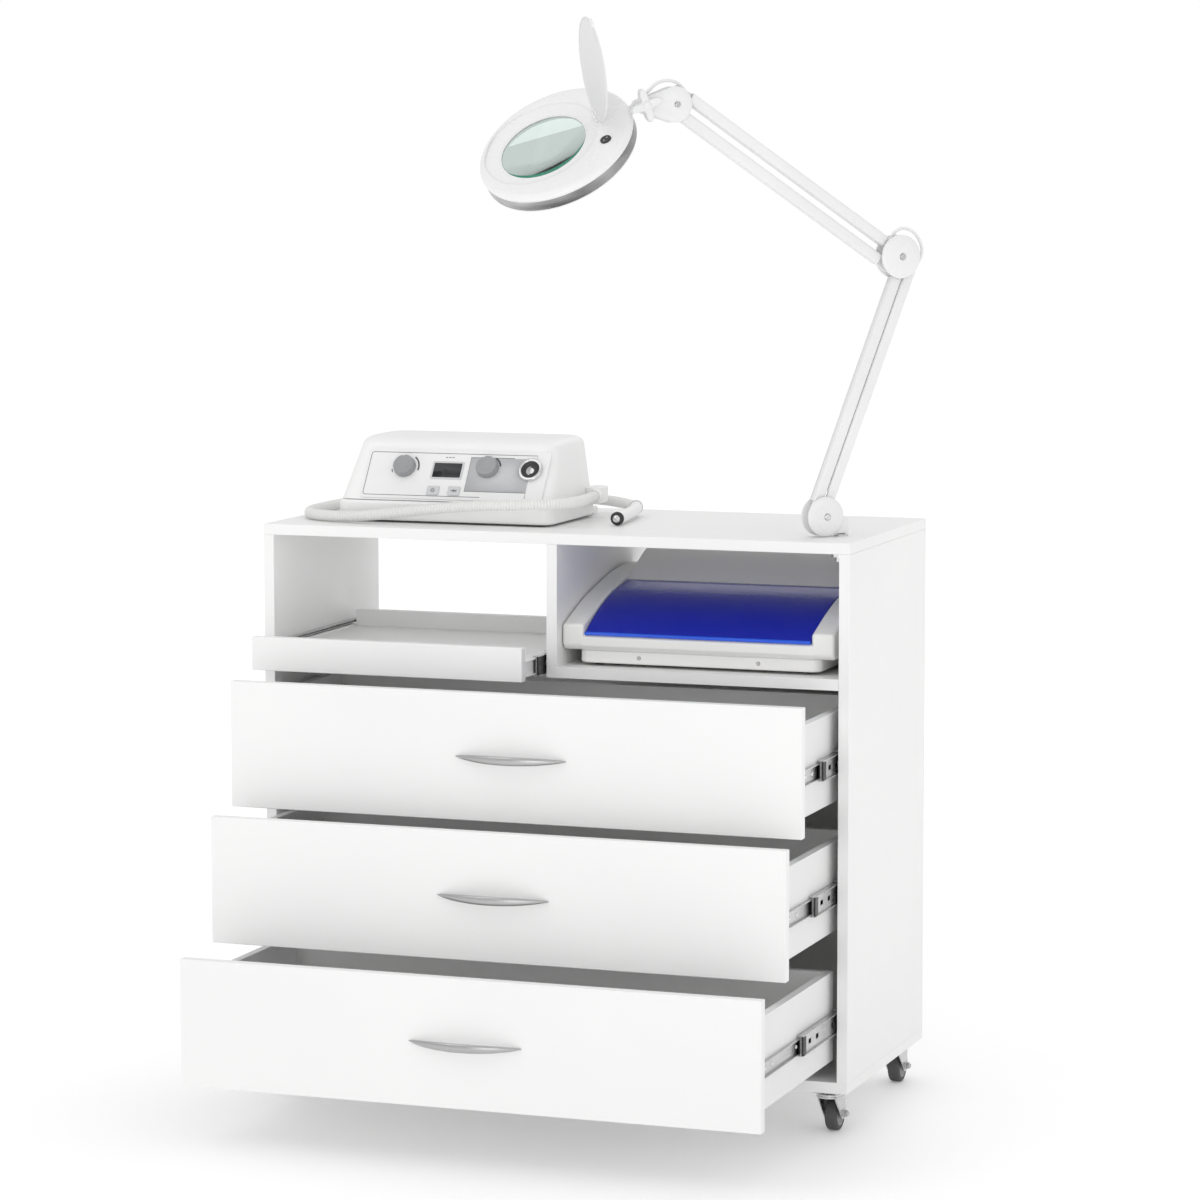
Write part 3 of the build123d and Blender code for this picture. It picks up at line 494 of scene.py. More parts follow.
# a mesh line in, a ribbed tube out
def buildRibTree():
    tree = bpy.data.node_groups.new("ribbedTube", "GeometryNodeTree")
    tree.interface.new_socket("Geometry", in_out="INPUT", socket_type="NodeSocketGeometry")
    for name, kind, value in (("Steps", "NodeSocketInt", 1000), ("Steps Per Rib", "NodeSocketFloat", 5.0),
                              ("Radius", "NodeSocketFloat", 0.008), ("Depth", "NodeSocketFloat", 0.001),
                              ("Sides", "NodeSocketInt", 20), ("Finish", "NodeSocketMaterial", None)):
        socket = tree.interface.new_socket(name, in_out="INPUT", socket_type=kind)
        if value is not None:
            socket.default_value = value
    tree.interface.new_socket("Geometry", in_out="OUTPUT", socket_type="NodeSocketGeometry")
    given, result = tree.nodes.new("NodeGroupInput"), tree.nodes.new("NodeGroupOutput")
    line = tree.nodes.new("GeometryNodeMeshToCurve")
    resample = tree.nodes.new("GeometryNodeResampleCurve")
    index = tree.nodes.new("GeometryNodeInputIndex")
    ring = tree.nodes.new("GeometryNodeCurvePrimitiveCircle")
    ring.inputs["Radius"].default_value = 1.0
    skin = tree.nodes.new("GeometryNodeCurveToMesh")
    skin.inputs["Fill Caps"].default_value = True
    share = mathNode(tree, "DIVIDE", index.outputs[0], given.outputs["Steps Per Rib"])
    wave = mathNode(tree, "SINE", mathNode(tree, "MULTIPLY", share, 2 * pi))
    swell = mathNode(tree, "MULTIPLY_ADD", wave, given.outputs["Depth"], given.outputs["Radius"])
    link = tree.links.new
    link(given.outputs["Geometry"], line.inputs["Mesh"])
    link(line.outputs["Curve"], resample.inputs["Curve"])
    link(given.outputs["Steps"], resample.inputs["Count"])
    link(given.outputs["Sides"], ring.inputs["Resolution"])
    link(resample.outputs["Curve"], skin.inputs["Curve"])
    link(ring.outputs["Curve"], skin.inputs["Profile Curve"])
    link(swell, skin.inputs["Scale"])
    paintAtEnd(tree, skin.outputs["Mesh"], given, result)
    return tree


# runs a tree on a mesh and keeps the mesh that comes out
def runTree(name, sourceMesh, tree, values, body, slotName=None):
    holder = bpy.data.objects.new(name + "Source", sourceMesh)
    bpy.context.scene.collection.objects.link(holder)
    modifier = holder.modifiers.new(name, "NODES")
    modifier.node_group = tree
    for socket in tree.interface.items_tree:
        if socket.in_out == "INPUT" and socket.name in values:
            modifier[socket.identifier] = values[socket.name]
    bpy.context.view_layer.update()
    shape = bpy.data.meshes.new_from_object(holder.evaluated_get(bpy.context.evaluated_depsgraph_get()))
    holder.modifiers.remove(modifier)
    bpy.data.objects.remove(holder)
    shape.name = name
    return place(name, shape, body, slotName)


ribTree = buildRibTree()


def lineLength(places):
    return sum((b - a).length for a, b in zip(places, places[1:]))


def buildHandpiece():
    sleeve, grip, waist, steps = 8.0, 9.6, 0.9, 24
    start, bend, tip = spot(33, 84, 869), spot(47, 48, 866.2), spot(54.6, -60, 864.6)
    aim = (tip - bend).normalized()
    path = []
    for step in range(steps + 1):
        share = step / steps
        path.append((start * (1 - share) + bend * share) * (1 - share)
                    + (bend * (1 - share) + tip * share) * share)
    radii = [sleeve if k < 2 else grip - waist * sin(pi * k / steps) for k in range(steps + 1)]
    body = tube("handpieceBody", path, radii, "unitWhite", "cabinet", "handpiece_white", 32)
    axis = basis(tip, aim.orthogonal(), aim)
    ring = lathe("handpieceRing", axis, [(0, -1), (9.7, -1), (9.9, 0), (9.9, 3), (9.0, 4), (0, 4)],
                 "blackPlastic", "cabinet")
    chuck = lathe("handpieceChuck", axis, [(0, 3.8), (5.6, 3.8), (5.4, 7), (3.6, 8.2), (1.3, 8.4), (1.2, 9.0),
                                           (0, 9.0)], "chrome", "cabinet")
    collar = lathe("handpieceCollar", basis(start, aim.orthogonal(), (path[1] - path[0])),
                   [(0, -3), (9.2, -3), (9.9, 0), (9.9, 9), (9.4, 11), (0, 11)], "keyGrey", "cabinet")
    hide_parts("handpiece")
    return [body, ring, chuck, collar]


def buildHose():
    places, line = splinePoints([spot(*point) for point in hoseRoute], 10)
    ribs = round(lineLength(places) / hoseSize["pitch"])
    hose = runTree("suctionHose", line, ribTree, {"Steps": ribs * hoseSize["stepsPerRib"],
                                                  "Steps Per Rib": float(hoseSize["stepsPerRib"]),
                                                  "Radius": hoseSize["radius"] - hoseSize["depth"],
                                                  "Depth": hoseSize["depth"], "Sides": hoseSize["sides"],
                                                  "Finish": finish["hose"]}, "cabinet", "hose_white")
    for face in hose.data.polygons:
        face.use_smooth = True
    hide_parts("drill_hose")
    tool = buildHandpiece()
    print("hose", round(lineLength(places), 3), "m long with", ribs, "ribs")


buildHose()


levels = ("top", "middle", "bottom")
boardNodes = ["side_panels", "top_panel", "bottom_panel", "niche_boards", "tray_front", "tray_board",
              "top_drawer_front", "middle_drawer_front", "bottom_drawer_front"]


def paintNode(name, material):
    mesh = frame["nodes"][name].data
    mesh.materials.clear()
    mesh.materials.append(finish[material])


for node in boardNodes:
    paintNode(node, "melamine")
for level in levels:
    paintNode(f"{level}_drawer_box", "drawerBoard")
paintNode("back_panel", "backBoard")
print("boards painted")

handleSize = {"half": 83.0, "reach": 27.0, "middle": 13.0, "thick": 6.0, "steps": 48, "sides": 20}


# a bow from tip to tip, thin at both ends, with an oval section that is tall at the middle
def buildHandle(level):
    low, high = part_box(f"{level}_handle")
    middle = Vector(((low.x + high.x) / 2, high.y, (low.z + high.z) / 2))
    size = handleSize
    rise = size["reach"] - size["thick"] / 2
    radius = (size["half"] ** 2 + rise ** 2) / (2 * rise)
    points = []
    for step in range(size["steps"] + 1):
        share = 2 * step / size["steps"] - 1
        along = share * size["half"]
        out = sqrt(radius ** 2 - along ** 2) - (radius - rise)
        leaf = max(0.02, (1 - share ** 2)) ** 0.62
        centre = middle + Vector((along, -out, 0)) * mm
        lean = Vector((along, -sqrt(radius ** 2 - along ** 2), 0)).normalized()
        for x, y in around((0, 0), 1.0, size["sides"]):
            across = lean * x * (size["thick"] / 2 * (0.45 + 0.55 * leaf))
            points.append(centre + (across + Vector((0, 0, y * size["middle"] / 2 * leaf))) * mm)
    faces = ringFaces(size["steps"] + 1, size["sides"], False, True)
    piece = addMesh(f"{level}HandleBow", points, faces, "satinNickel", f"{level}_drawer", True,
                    "satin_handle")
    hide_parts(f"{level}_handle")


for level in levels:
    buildHandle(level)
print("handles built")


for name in frame["nodes"]:
    if "slide" in name:
        paintNode(name, "zinc")


# pan-head screws, one on every point of the mesh that is put in
def buildScrewTree():
    tree = bpy.data.node_groups.new("screwRow", "GeometryNodeTree")
    face = tree.interface
    face.new_socket("Geometry", in_out="INPUT", socket_type="NodeSocketGeometry")
    for name in ("Turn", "Radius", "Tall"):
        face.new_socket(name, in_out="INPUT", socket_type="NodeSocketFloat")
    face.new_socket("Finish", in_out="INPUT", socket_type="NodeSocketMaterial")
    face.new_socket("Geometry", in_out="OUTPUT", socket_type="NodeSocketGeometry")

    given, result = tree.nodes.new("NodeGroupInput"), tree.nodes.new("NodeGroupOutput")
    head = tree.nodes.new("GeometryNodeMeshCone")
    head.inputs["Vertices"].default_value = 24
    boss = tree.nodes.new("GeometryNodeMeshCylinder")
    boss.inputs["Vertices"].default_value = 6
    joined = tree.nodes.new("GeometryNodeJoinGeometry")
    spread = tree.nodes.new("GeometryNodeInstanceOnPoints")
    lean = tree.nodes.new("ShaderNodeCombineXYZ")
    radius, tall = given.outputs["Radius"], given.outputs["Tall"]
    link = tree.links.new
    link(radius, head.inputs["Radius Bottom"])
    link(mathNode(tree, "MULTIPLY", radius, 0.74), head.inputs["Radius Top"])
    link(tall, head.inputs["Depth"])
    link(mathNode(tree, "MULTIPLY", radius, 0.4), boss.inputs["Radius"])
    link(mathNode(tree, "MULTIPLY", tall, 2.12), boss.inputs["Depth"])
    link(head.outputs["Mesh"], joined.inputs["Geometry"])
    link(boss.outputs["Mesh"], joined.inputs["Geometry"])
    link(given.outputs["Geometry"], spread.inputs["Points"])
    link(joined.outputs["Geometry"], spread.inputs["Instance"])
    link(given.outputs["Turn"], lean.inputs["Y"])
    link(lean.outputs["Vector"], spread.inputs["Rotation"])
    paintAtEnd(tree, spread.outputs["Instances"], given, result)
    return tree


screwTree = buildScrewTree()
slideSize = {"innerFace": 11.4, "middleLip": 2.0, "screw": 3.4, "tall": 1.3, "stopNear": 2.5, "stopFar": 5.1,
             "stopHalf": 12.6, "stopLong": 15.0, "catchFar": 9.4, "catchHalf": 9.6}


# screws through both inner members and the black stops at the front ends of both middle members
def dressSlides(level, body):
    size = slideSize
    low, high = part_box(f"{level}_slide_middle")
    centre = (low.z + high.z) / 2
    inner = f"{level}_slide_inner"
    for side in (-1, 1):
        label = level + ("Left" if side < 0 else "Right")
        wall = (high.x if side > 0 else low.x) + side * size["middleLip"] * mm
        if inner in frame["nodes"]:
            points = bpy.data.meshes.new(f"{label}ScrewPlaces")
            x, first = wall - side * size["innerFace"] * mm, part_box(inner)[0].y
            points.from_pydata([(x, first + along * mm, centre) for along in (24, 56, 168, 290)], [], [])
            runTree(f"{label}SlideScrews", points, screwTree, {
                "Turn": side * pi / 2, "Radius": size["screw"] * mm, "Tall": size["tall"] * mm,
                "Finish": finish["chrome"]}, body, "slide_steel")
        out = basis(Vector((wall, low.y, centre)), toRear, Vector((-side, 0, 0)))
        long, half, catch = size["stopLong"], size["stopHalf"], size["catchHalf"]
        prism(f"{label}SlideStop", out, [(1, -half), (long, -half), (long, half), (1, half)],
              size["stopNear"], size["stopFar"], "blackPlastic", f"{level}_slide_middle", None, 0.5, 2)
        prism(f"{label}SlideCatch", out, [(1.5, -catch), (2.2 * long, -catch), (2.2 * long, catch),
                                          (1.5, catch)], 6.5, size["catchFar"], "blackPlastic",
              f"{level}_slide_middle", None, 0.5, 2)


for level in levels:
    dressSlides(level, f"{level}_drawer")
dressSlides("tray", "tray")
print("slides dressed")


paintNode("lamp_bush", "chrome")


# the lamp's knuckles, arms and leads lie in the upright plane of its arms
lampPin = jointPoint("lamp_turn")
armAlong, armOut = Vector((1, 1, 0)), Vector((1, -1, 0))
armPlane = basis(Vector((lampPin.x, lampPin.y, topZ)), armAlong, armOut)


def armPoint(along, up, out=0.0):
    return armPlane @ (Vector((along, up, out)) * mm)


def armFrame(centre, out=0.0, side=1):
    return basis(armPoint(*centre, out), armAlong, armOut * side)


lampSize = {
    "base": (-30.2, 29.3), "elbow": (89.3, 396.1), "head": (-267.4, 611.5), "tilt": (-318.6, 610.0),
    "baseRadius": 28.5, "elbowRadius": 31.0, "headRadius": 25.0, "cheekIn": 9.0, "cheekOut": 17.0,
    "barWide": 16.0, "barHalf": 7.0, "wall": 1.6, "lugRadius": 7.0, "neck": 20.0,
}


# one cheek of a knuckle: a shallow dome with a turned-in rim and a round recess for its screw
def buildCheek(name, centre, radius, side, body):
    low, high = lampSize["cheekIn"], lampSize["cheekOut"]
    profile = [(0, low), (radius - 1.2, low), (radius - 0.3, low + 0.3), (radius, low + 1.2)]
    for step in range(1, 15):
        turn = pi / 2 * step / 14
        edge = cos(turn) ** 0.72
        profile.append((max(5.6, radius * edge), low + 1.2 + (high - low - 1.2) * sin(turn) ** 0.9))
    profile = [point for point in profile if point[0] > 5.5 or point[1] == low]
    top = profile[-1][1]
    profile += [(5.0, top - 0.3), (4.8, top - 1.6), (0, top - 1.6)]
    lathe(name, armFrame(centre, 0, side), profile, "lampWhite", body, "lamp_white", 72)
    return top - 1.6


# a cheese-head screw with a slot cut across it
def screwShape(plane, radius, tall, turn, slot=0.22, depth=0.45, steps=28, sides=40):
    half = radius * slot
    start = asin(half / radius)
    turns = [start + (pi - 2 * start) * k / steps for k in range(steps + 1)]
    spin = Matrix.Rotation(turn, 4, "Z")
    points, faces = [], []
    for sign in (1, -1):
        first = len(points)
        for z, scale in ((tall * (1 - depth), 1.0), (tall * 0.8, 1.0), (tall, 0.86)):
            for x, y in [(radius * cos(angle), sign * radius * sin(angle)) for angle in turns]:
                flat = y if abs(y) <= half * 1.0001 else y * scale
                points.append(plane @ (spin @ Vector((x * scale, flat, z)) * mm))
        faces += [tuple(first + k for k in face) for face in ringFaces(3, steps + 1, False, True)]
    first = len(points)
    rim = around((0, 0), radius, sides)
    points += [plane @ (Vector((x, y, z)) * mm) for z in (0.0, tall * (1 - depth)) for x, y in rim]
    faces += [tuple(first + k for k in face) for face in ringFaces(2, sides, False, True)]
    return points, faces


def buildScrew(name, plane, radius, tall, body, turn=0.5, material="chrome"):
    points, faces = screwShape(plane, radius, tall, turn)
    # a thin black disc on the floor of the recess round the screw is painted shade in the crevice
    lathe(name + "Well", plane, [(0, 0), (radius * 1.12, 0), (radius * 1.12, 0.25), (0, 0.25)],
          "blackPlastic", body, None, 32)
    addMesh(name, points, faces, material, body, False, "bush_chrome")


def spacer(name, centre, radius, low, high, body, material="lampWhite", segments=32):
    edge = 0.4
    profile = [(0, low), (radius - edge, low), (radius, low + edge), (radius, high - edge),
               (radius - edge, high), (0, high)]
    return lathe(name, armFrame(centre), profile, material, body, None, segments)


def buildKnuckle(name, centre, radius, body, turn):
    for side, label in ((1, "Front"), (-1, "Back")):
        seat = buildCheek(name + label + "Cheek", centre, radius, side, body)
        buildScrew(name + label + "Screw", armFrame(centre, side * seat, side), 4.3, 1.9, body, turn)


pivots = {
    "lowerRear": ((-47.45, 31.4), (140.2, 352.1)), "lowerFront": ((-23.75, 44.4), (140.2, 352.1)),
    "upperTop": ((83.0, 407.5), (-340.9, 223.8)), "upperBottom": ((74.0, 381.5), (-340.9, 223.8)),
}


def farEnd(bar):
    start, span = pivots[bar]
    return start[0] + span[0], start[1] + span[1]


def buildPivotPin(name, centre, front, body):
    low, high = (0.5, 9.2) if front else (-9.2, -0.5)
    spacer(name, centre, 2.5, low, high, body, "chrome", 24)


# a pressed channel with round outer edges, closed at both ends, and a flat lug at each end
def buildBar(name, bar, lugSide, body, node):
    size = lampSize
    (u0, v0), (du, dv) = pivots[bar]
    long = hypot(du, dv)
    plane = basis(armPoint(u0, v0), armPlane.to_3x3() @ Vector((du, dv, 0)), armOut)
    half, deep, wall, corner = size["barWide"] / 2, size["barHalf"], size["wall"], 3.6
    section = []
    for sx, start in ((1, 0), (-1, 1)):
        for step in range(7):
            turn = pi / 2 * (start + step / 6)
            section.append((sx * (half - corner) + corner * cos(turn), deep - corner + corner * sin(turn)))
    section += [(-half, -deep + 0.5), (-half + 0.5, -deep), (-half + wall, -deep)]
    for sx, start in ((-1, 1), (1, 0)):
        for step in range(5):
            turn = pi / 2 * (start + 1 - step / 4)
            section.append((sx * (half - corner) + (corner - wall) * cos(turn),
                            deep - corner + (corner - wall) * sin(turn)))
    section += [(half - wall, -deep), (half - 0.5, -deep), (half, -deep + 0.5)]
    rows = [size["neck"], size["neck"] + 0.6, long - size["neck"] - 0.6, long - size["neck"]]
    points = [plane @ (Vector((x, y * inset, z * inset)) * mm)
              for x, inset in zip(rows, (0.96, 1.0, 1.0, 0.96)) for y, z in section]
    channel = addMesh(name, points, ringFaces(4, len(section), False, True), "armPaint", body, True,
                      "lamp_arm_paint")
    low, high = (1.5, 6.5) if lugSide > 0 else (-6.5, -1.5)
    lug = size["lugRadius"]
    for index, (a, b) in enumerate(((0.0, size["neck"] + 3), (long, long - size["neck"] - 3))):
        outline = []
        for step in range(13):
            turn = pi / 2 + pi * step / 12
            outline.append((a + (1 if b > a else -1) * lug * cos(turn), lug * sin(turn)))
        outline += [(b, -lug + 0.4), (b, lug - 0.4)]
        prism(f"{name}Lug{index}", plane, outline, low, high, "armPaint", body, "lamp_arm_paint", 0.5, 2)
    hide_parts(node)


def smoothPath(controls):
    return splinePoints([armPoint(*point) for point in controls], 10)[0]


def buildArms():
    buildBar("lowerRearBar", "lowerRear", 1, "lower_rear_bar", "lower_bar_rear")
    buildBar("lowerFrontBar", "lowerFront", 1, "lower_front_bar", "lower_bar_front")
    buildBar("upperTopBar", "upperTop", -1, "upper_top_bar", "upper_bar_top")
    buildBar("upperBottomBar", "upperBottom", -1, "upper_bottom_bar", "upper_bar_bottom")


def buildKnuckles():
    size = lampSize
    buildKnuckle("lampBase", size["base"], size["baseRadius"], "lamp_base", 0.9)
    pin = basis(Vector((lampPin.x, lampPin.y, topZ)), toRight, toTop)
    lathe("lampBasePost", pin, [(0, -36.8), (5.2, -36.8), (5.9, -36), (5.9, 3.4), (7.6, 4.0), (8.4, 5.2),
                                (8.6, 12), (7.6, 17), (0, 19.5)], "chrome", "lamp_base", None, 40)
    boss = prism("lampBaseBoss", armFrame((0, 0)), roundedRect(28, 22, 4, 5, (-6, 15)),
                 -8.8, 8.8, "lampWhite", "lamp_base", "lamp_white", 1.5)
    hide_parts("lamp_base_knuckle")
    buildPivotPin("lampBaseRearPin", pivots["lowerRear"][0], True, "lamp_base")
    buildPivotPin("lampBaseFrontPin", pivots["lowerFront"][0], True, "lamp_base")

    buildKnuckle("elbow", size["elbow"], size["elbowRadius"], "elbow", 0.35)
    middle = spacer("elbowSpacer", (size["elbow"][0] + 14, size["elbow"][1] + 20), 5, -9.2, 9.2, "elbow")
    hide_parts("elbow_knuckle")
    for bar in ("lowerRear", "lowerFront"):
        buildPivotPin(bar + "ElbowPin", farEnd(bar), True, "elbow")
    for bar in ("upperTop", "upperBottom"):
        buildPivotPin(bar + "ElbowPin", pivots[bar][0], False, "elbow")
        buildPivotPin(bar + "HeadPin", farEnd(bar), False, "head_knuckle")
    loop = [(size["elbow"][0] + du, size["elbow"][1] + dv, -1.6) for du, dv in
            ((-14, 22), (-6, 35), (12, 42), (33, 31), (43, 8), (35, -12), (24, -15))]
    tube("elbowLead", smoothPath(loop), 2.3, "lampWhite", "elbow", "lamp_white", 20)

    lead = [(-242, 622, -1), (-252, 637, -1), (-268, 645.5, -1), (-290, 643, -1), (-304, 630, -1),
            (-318, 619, -2), (-332, 607, -3)]
    tube("headLead", smoothPath(lead), 2.3, "lampWhite", "head_knuckle", "lamp_white", 20)


# the head knuckle's cheeks: a dome that runs out into an ear at the tilt pin
def buildHeadCheek(side):
    size = lampSize
    (hu, hv), (tu, tv) = size["head"], size["tilt"]
    big, small = size["headRadius"], 8.5
    gap = hypot(tu - hu, tv - hv)
    heading = atan2(tv - hv, tu - hu)
    lean = acos((big - small) / gap)
    outline = []
    for step in range(49):
        turn = heading + lean + (2 * pi - 2 * lean) * step / 48
        outline.append((hu + big * cos(turn), hv + big * sin(turn)))
    for step in range(17):
        turn = heading - lean + 2 * lean * step / 16
        outline.append((tu + small * cos(turn), tv + small * sin(turn)))
    rings = [0.0, 0.01, 0.03, 0.06, 0.1, 0.16, 0.23, 0.31, 0.4, 0.5, 0.62, 0.74, 0.8]
    count = len(outline)
    plane = armFrame((0, 0), 0, 1)
    low, ear = 7.7, 11.0
    places = []
    for share in rings:
        for u, v in outline:
            pu, pv = u + (hu - u) * share, v + (hv - v) * share
            away = min(1.0, max(0.0, (hypot(pu - tu, pv - tv) - 24) / 20))
            high = ear + (size["cheekOut"] - ear) * away * away * (3 - 2 * away)
            rise = sqrt(max(0.0, 1 - (1 - min(1.0, share * 1.25)) ** 2))
            places.append((pu, pv, low + (high - low) * (0.25 + 0.75 * rise if share else 0.12)))
    base = len(places)
    places += [(hu + (u - hu) * 0.985, hv + (v - hv) * 0.985, low) for u, v in outline]
    points = [plane @ (Vector((u, v, n * side)) * mm) for u, v, n in places]
    faces = ringFaces(len(rings), count)
    faces += [(base + k, base + (k + 1) % count, (k + 1) % count, k) for k in range(count)]
    faces += [tuple(base + k for k in range(count)), tuple(base - count + k for k in range(count))]
    label = "Front" if side > 0 else "Back"
    return addMesh(f"headKnuckle{label}Cheek", points, faces, "lampWhite", "head_knuckle", True, "lamp_white")


def buildHeadKnuckle():
    size = lampSize
    cheek = buildHeadCheek(1)
    buildHeadCheek(-1)
    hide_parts("head_knuckle")
    for side in (1, -1):
        plane = armFrame(size["head"], side * 16.6, side)
        label = "Front" if side > 0 else "Back"
        buildScrew(f"headKnuckle{label}Screw", plane, 4.3, 1.7, "head_knuckle", 1.2)
    prism("headKnuckleBlock", armFrame((0, 0)), roundedRect(9, 17, 2, 4,
                                                            (size["head"][0] - 17, size["head"][1] - 1)),
          -8.8, 8.8, "lampWhite", "head_knuckle", "lamp_white", 0.6)


def buildStarKnob():
    centre = lampSize["tilt"]
    outline = []
    for step in range(96):
        turn = 2 * pi * step / 96
        reach = 9.0 + 15.0 * abs(cos(2 * (turn - radians(20)))) ** 3.2
        outline.append((reach * cos(turn), reach * sin(turn)))
    plane = armFrame(centre)
    star = prism("starKnobHead", plane, outline, 15.2, 25.6, "lampWhite", "star_knob", "lamp_white", 1.8, 4)
    lathe("starKnobHub", plane, [(0, 12.1), (7.4, 12.1), (8, 12.8), (8.4, 15.6),
                                 (0, 15.6)], "lampWhite", "star_knob", None, 36)
    lathe("starKnobCap", plane, [(0, 25.2), (6.5, 25.2), (6.4, 26.0), (4.0, 26.6),
                                 (0, 26.8)], "lampWhite", "star_knob", None, 36)
    lathe("starKnobBolt", plane, [(0, -14.8), (2.4, -14.8), (3, -14.2), (3, 12.6),
                                  (0, 12.6)], "chrome", "star_knob", None, 24)
    prism("starKnobNut", plane, around((0, 0), 5.6, 6), -14.4, -11.9, "chrome", "star_knob", None, 0.3, 2)
    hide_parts("star_knob")


buildArms()
buildKnuckles()
buildHeadKnuckle()
buildStarKnob()
print("lamp arms built")


headFrame = basis(Vector((0, 0, 0)), Vector((0.839, 0.318, 0.441)), Vector((-0.139, -0.66, 0.738)))
headFrame.translation = spot(72.6, -366.5, 1415.4)
headRight, headRear, headUp = (headFrame.to_3x3() @ way for way in (toRight, toRear, toTop))
headSize = {"radius": 113.0, "lens": (-17.0, 5.0), "lensRadius": 62.0, "dish": (-18.0, 12.0),
            "dishRadius": 83.0, "shellTall": 10.0, "bandTall": 16.0, "switch": (64.0, -52.0),
            "switchRadius": 8.0}


def headPoint(x, y, z):
    return headFrame @ (Vector((x, y, z)) * mm)


# rings of points in the head's plane, each round its own centre, joined into a closed skin
def headRings(name, rows, sides, material, slotName):
    points = [headPoint(x, y, z) for centre, radius, z in rows for x, y in around(centre, radius, sides)]
    return addMesh(name, points, ringFaces(len(rows), sides, True), material, "head", True, slotName)


# rings from the rim round the lens out over the dish, the crown and the rolled edge to the underside
def buildHeadShell():
    size = headSize
    lensC, lensR = size["lens"], size["lensRadius"]
    dishC, dishR = size["dish"], size["dishRadius"]
    outer = size["radius"]
    rows = [(lensC, lensR + 3.6, -9.6), (lensC, lensR + 0.6, -9.6), (lensC, lensR - 0.2, -7.4),
            (lensC, lensR - 0.2, -4.6), (lensC, lensR + 0.3, -4.0), (lensC, lensR + 1.2, -3.7),
            (lensC, lensR + 2.6, -3.8), (lensC, lensR + 3.0, -4.2), (lensC, lensR + 4.5, -4.3),]
    for step in range(1, 7):
        share = step / 6
        centre = tuple(a + (b - a) * share for a, b in zip(lensC, dishC))
        rows.append((centre, lensR + 4.5 + (dishR - lensR - 5.5) * share, -4.3 + 1.5 * share ** 1.25))
    rows += [(dishC, dishR - 0.4, -2.5), (dishC, dishR + 0.1, -0.6), (dishC, dishR + 0.8, -0.05)]
    for step in range(1, 9):
        share = step / 8
        centre = tuple(a * (1 - share) for a in dishC)
        rows.append((centre, dishR + 0.8 + (outer - 9 - dishR - 0.8) * share, 0.1 + 0.5 * sin(pi * share)))
    for step in range(1, 11):
        turn = pi / 2 * step / 10
        rows.append(((0, 0), outer - 9 + 9 * sin(turn), -7.4 + 7.5 * cos(turn)))
    rows += [((0, 0), outer, -9.0), ((0, 0), outer - 0.5, -9.8), ((0, 0), outer - 3.2, -9.9),
             ((0, 0), outer - 3.4, -8.0), (lensC, lensR + 4.2, -7.6)]
    shell = headRings("headShell", rows, 160, "lampWhite", "lamp_white")
    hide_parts("head_shell")
    socket = basis(headPoint(0, 0, -10.1), headRear, headRight)
    lathe("headSocket", socket, [(4.1, 104), (7.6, 104), (7.8, 112), (6.4, 113.6),
                                 (4.1, 113.8)], "lampWhite", "head", "lamp_white", 40, True)


def buildBandMaterial():
    material, tree, shader, _ = startMaterial("brushedSteelBand")
    route = tree.nodes.new("ShaderNodeUVMap")
    route.uv_map = "around"
    values = {"Fineness": 900.0, "Base": (*grey(0.20), 1), "Tone": (*grey(0.10), 1), "Smooth": 0.22,
              "Rough": 0.38}
    streak = dressMaterial(tree, shader, streakGroup, route.outputs["UV"], values, 0.1)
    sweep = noiseNode(tree, route.outputs["UV"], 9.0, 2.0)
    shade = colourMix(tree, rangeNode(tree, sweep, 0.0, 1.0), streak.outputs["Color"], (*grey(0.62), 1))
    tree.links.new(shade, shader.inputs["Base Color"])
    shader.inputs["Metallic"].default_value = 1.0
    return material


finish["band"] = buildBandMaterial()


def buildBand():
    size = headSize
    top = -size["shellTall"] + 0.1
    low = -size["shellTall"] - size["bandTall"]
    rows = [(1.2, top), (1.0, top - 0.6), (1.0, low + 0.8), (1.4, low + 0.2), (2.6, low + 0.2),
            (2.8, low + 0.8), (2.8, top - 0.4), (2.6, top)]
    rows = [((0, 0), size["radius"] - inset, z) for inset, z in rows]
    band = headRings("headBand", rows, 144, "band", "brushed_band")
    layer = band.data.uv_layers.new(name="around")
    local = headFrame.inverted()
    for face in band.data.polygons:
        turns = []
        for loop in face.loop_indices:
            corner = local @ band.data.vertices[band.data.loops[loop].vertex_index].co
            turns.append((loop, atan2(corner.y, corner.x), corner.z))
        first = turns[0][1]
        for loop, turn, z in turns:
            turn += 2 * pi * round((first - turn) / (2 * pi))
            layer.data[loop].uv = (turn * size["radius"] * mm, z)
    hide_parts("head_ring")


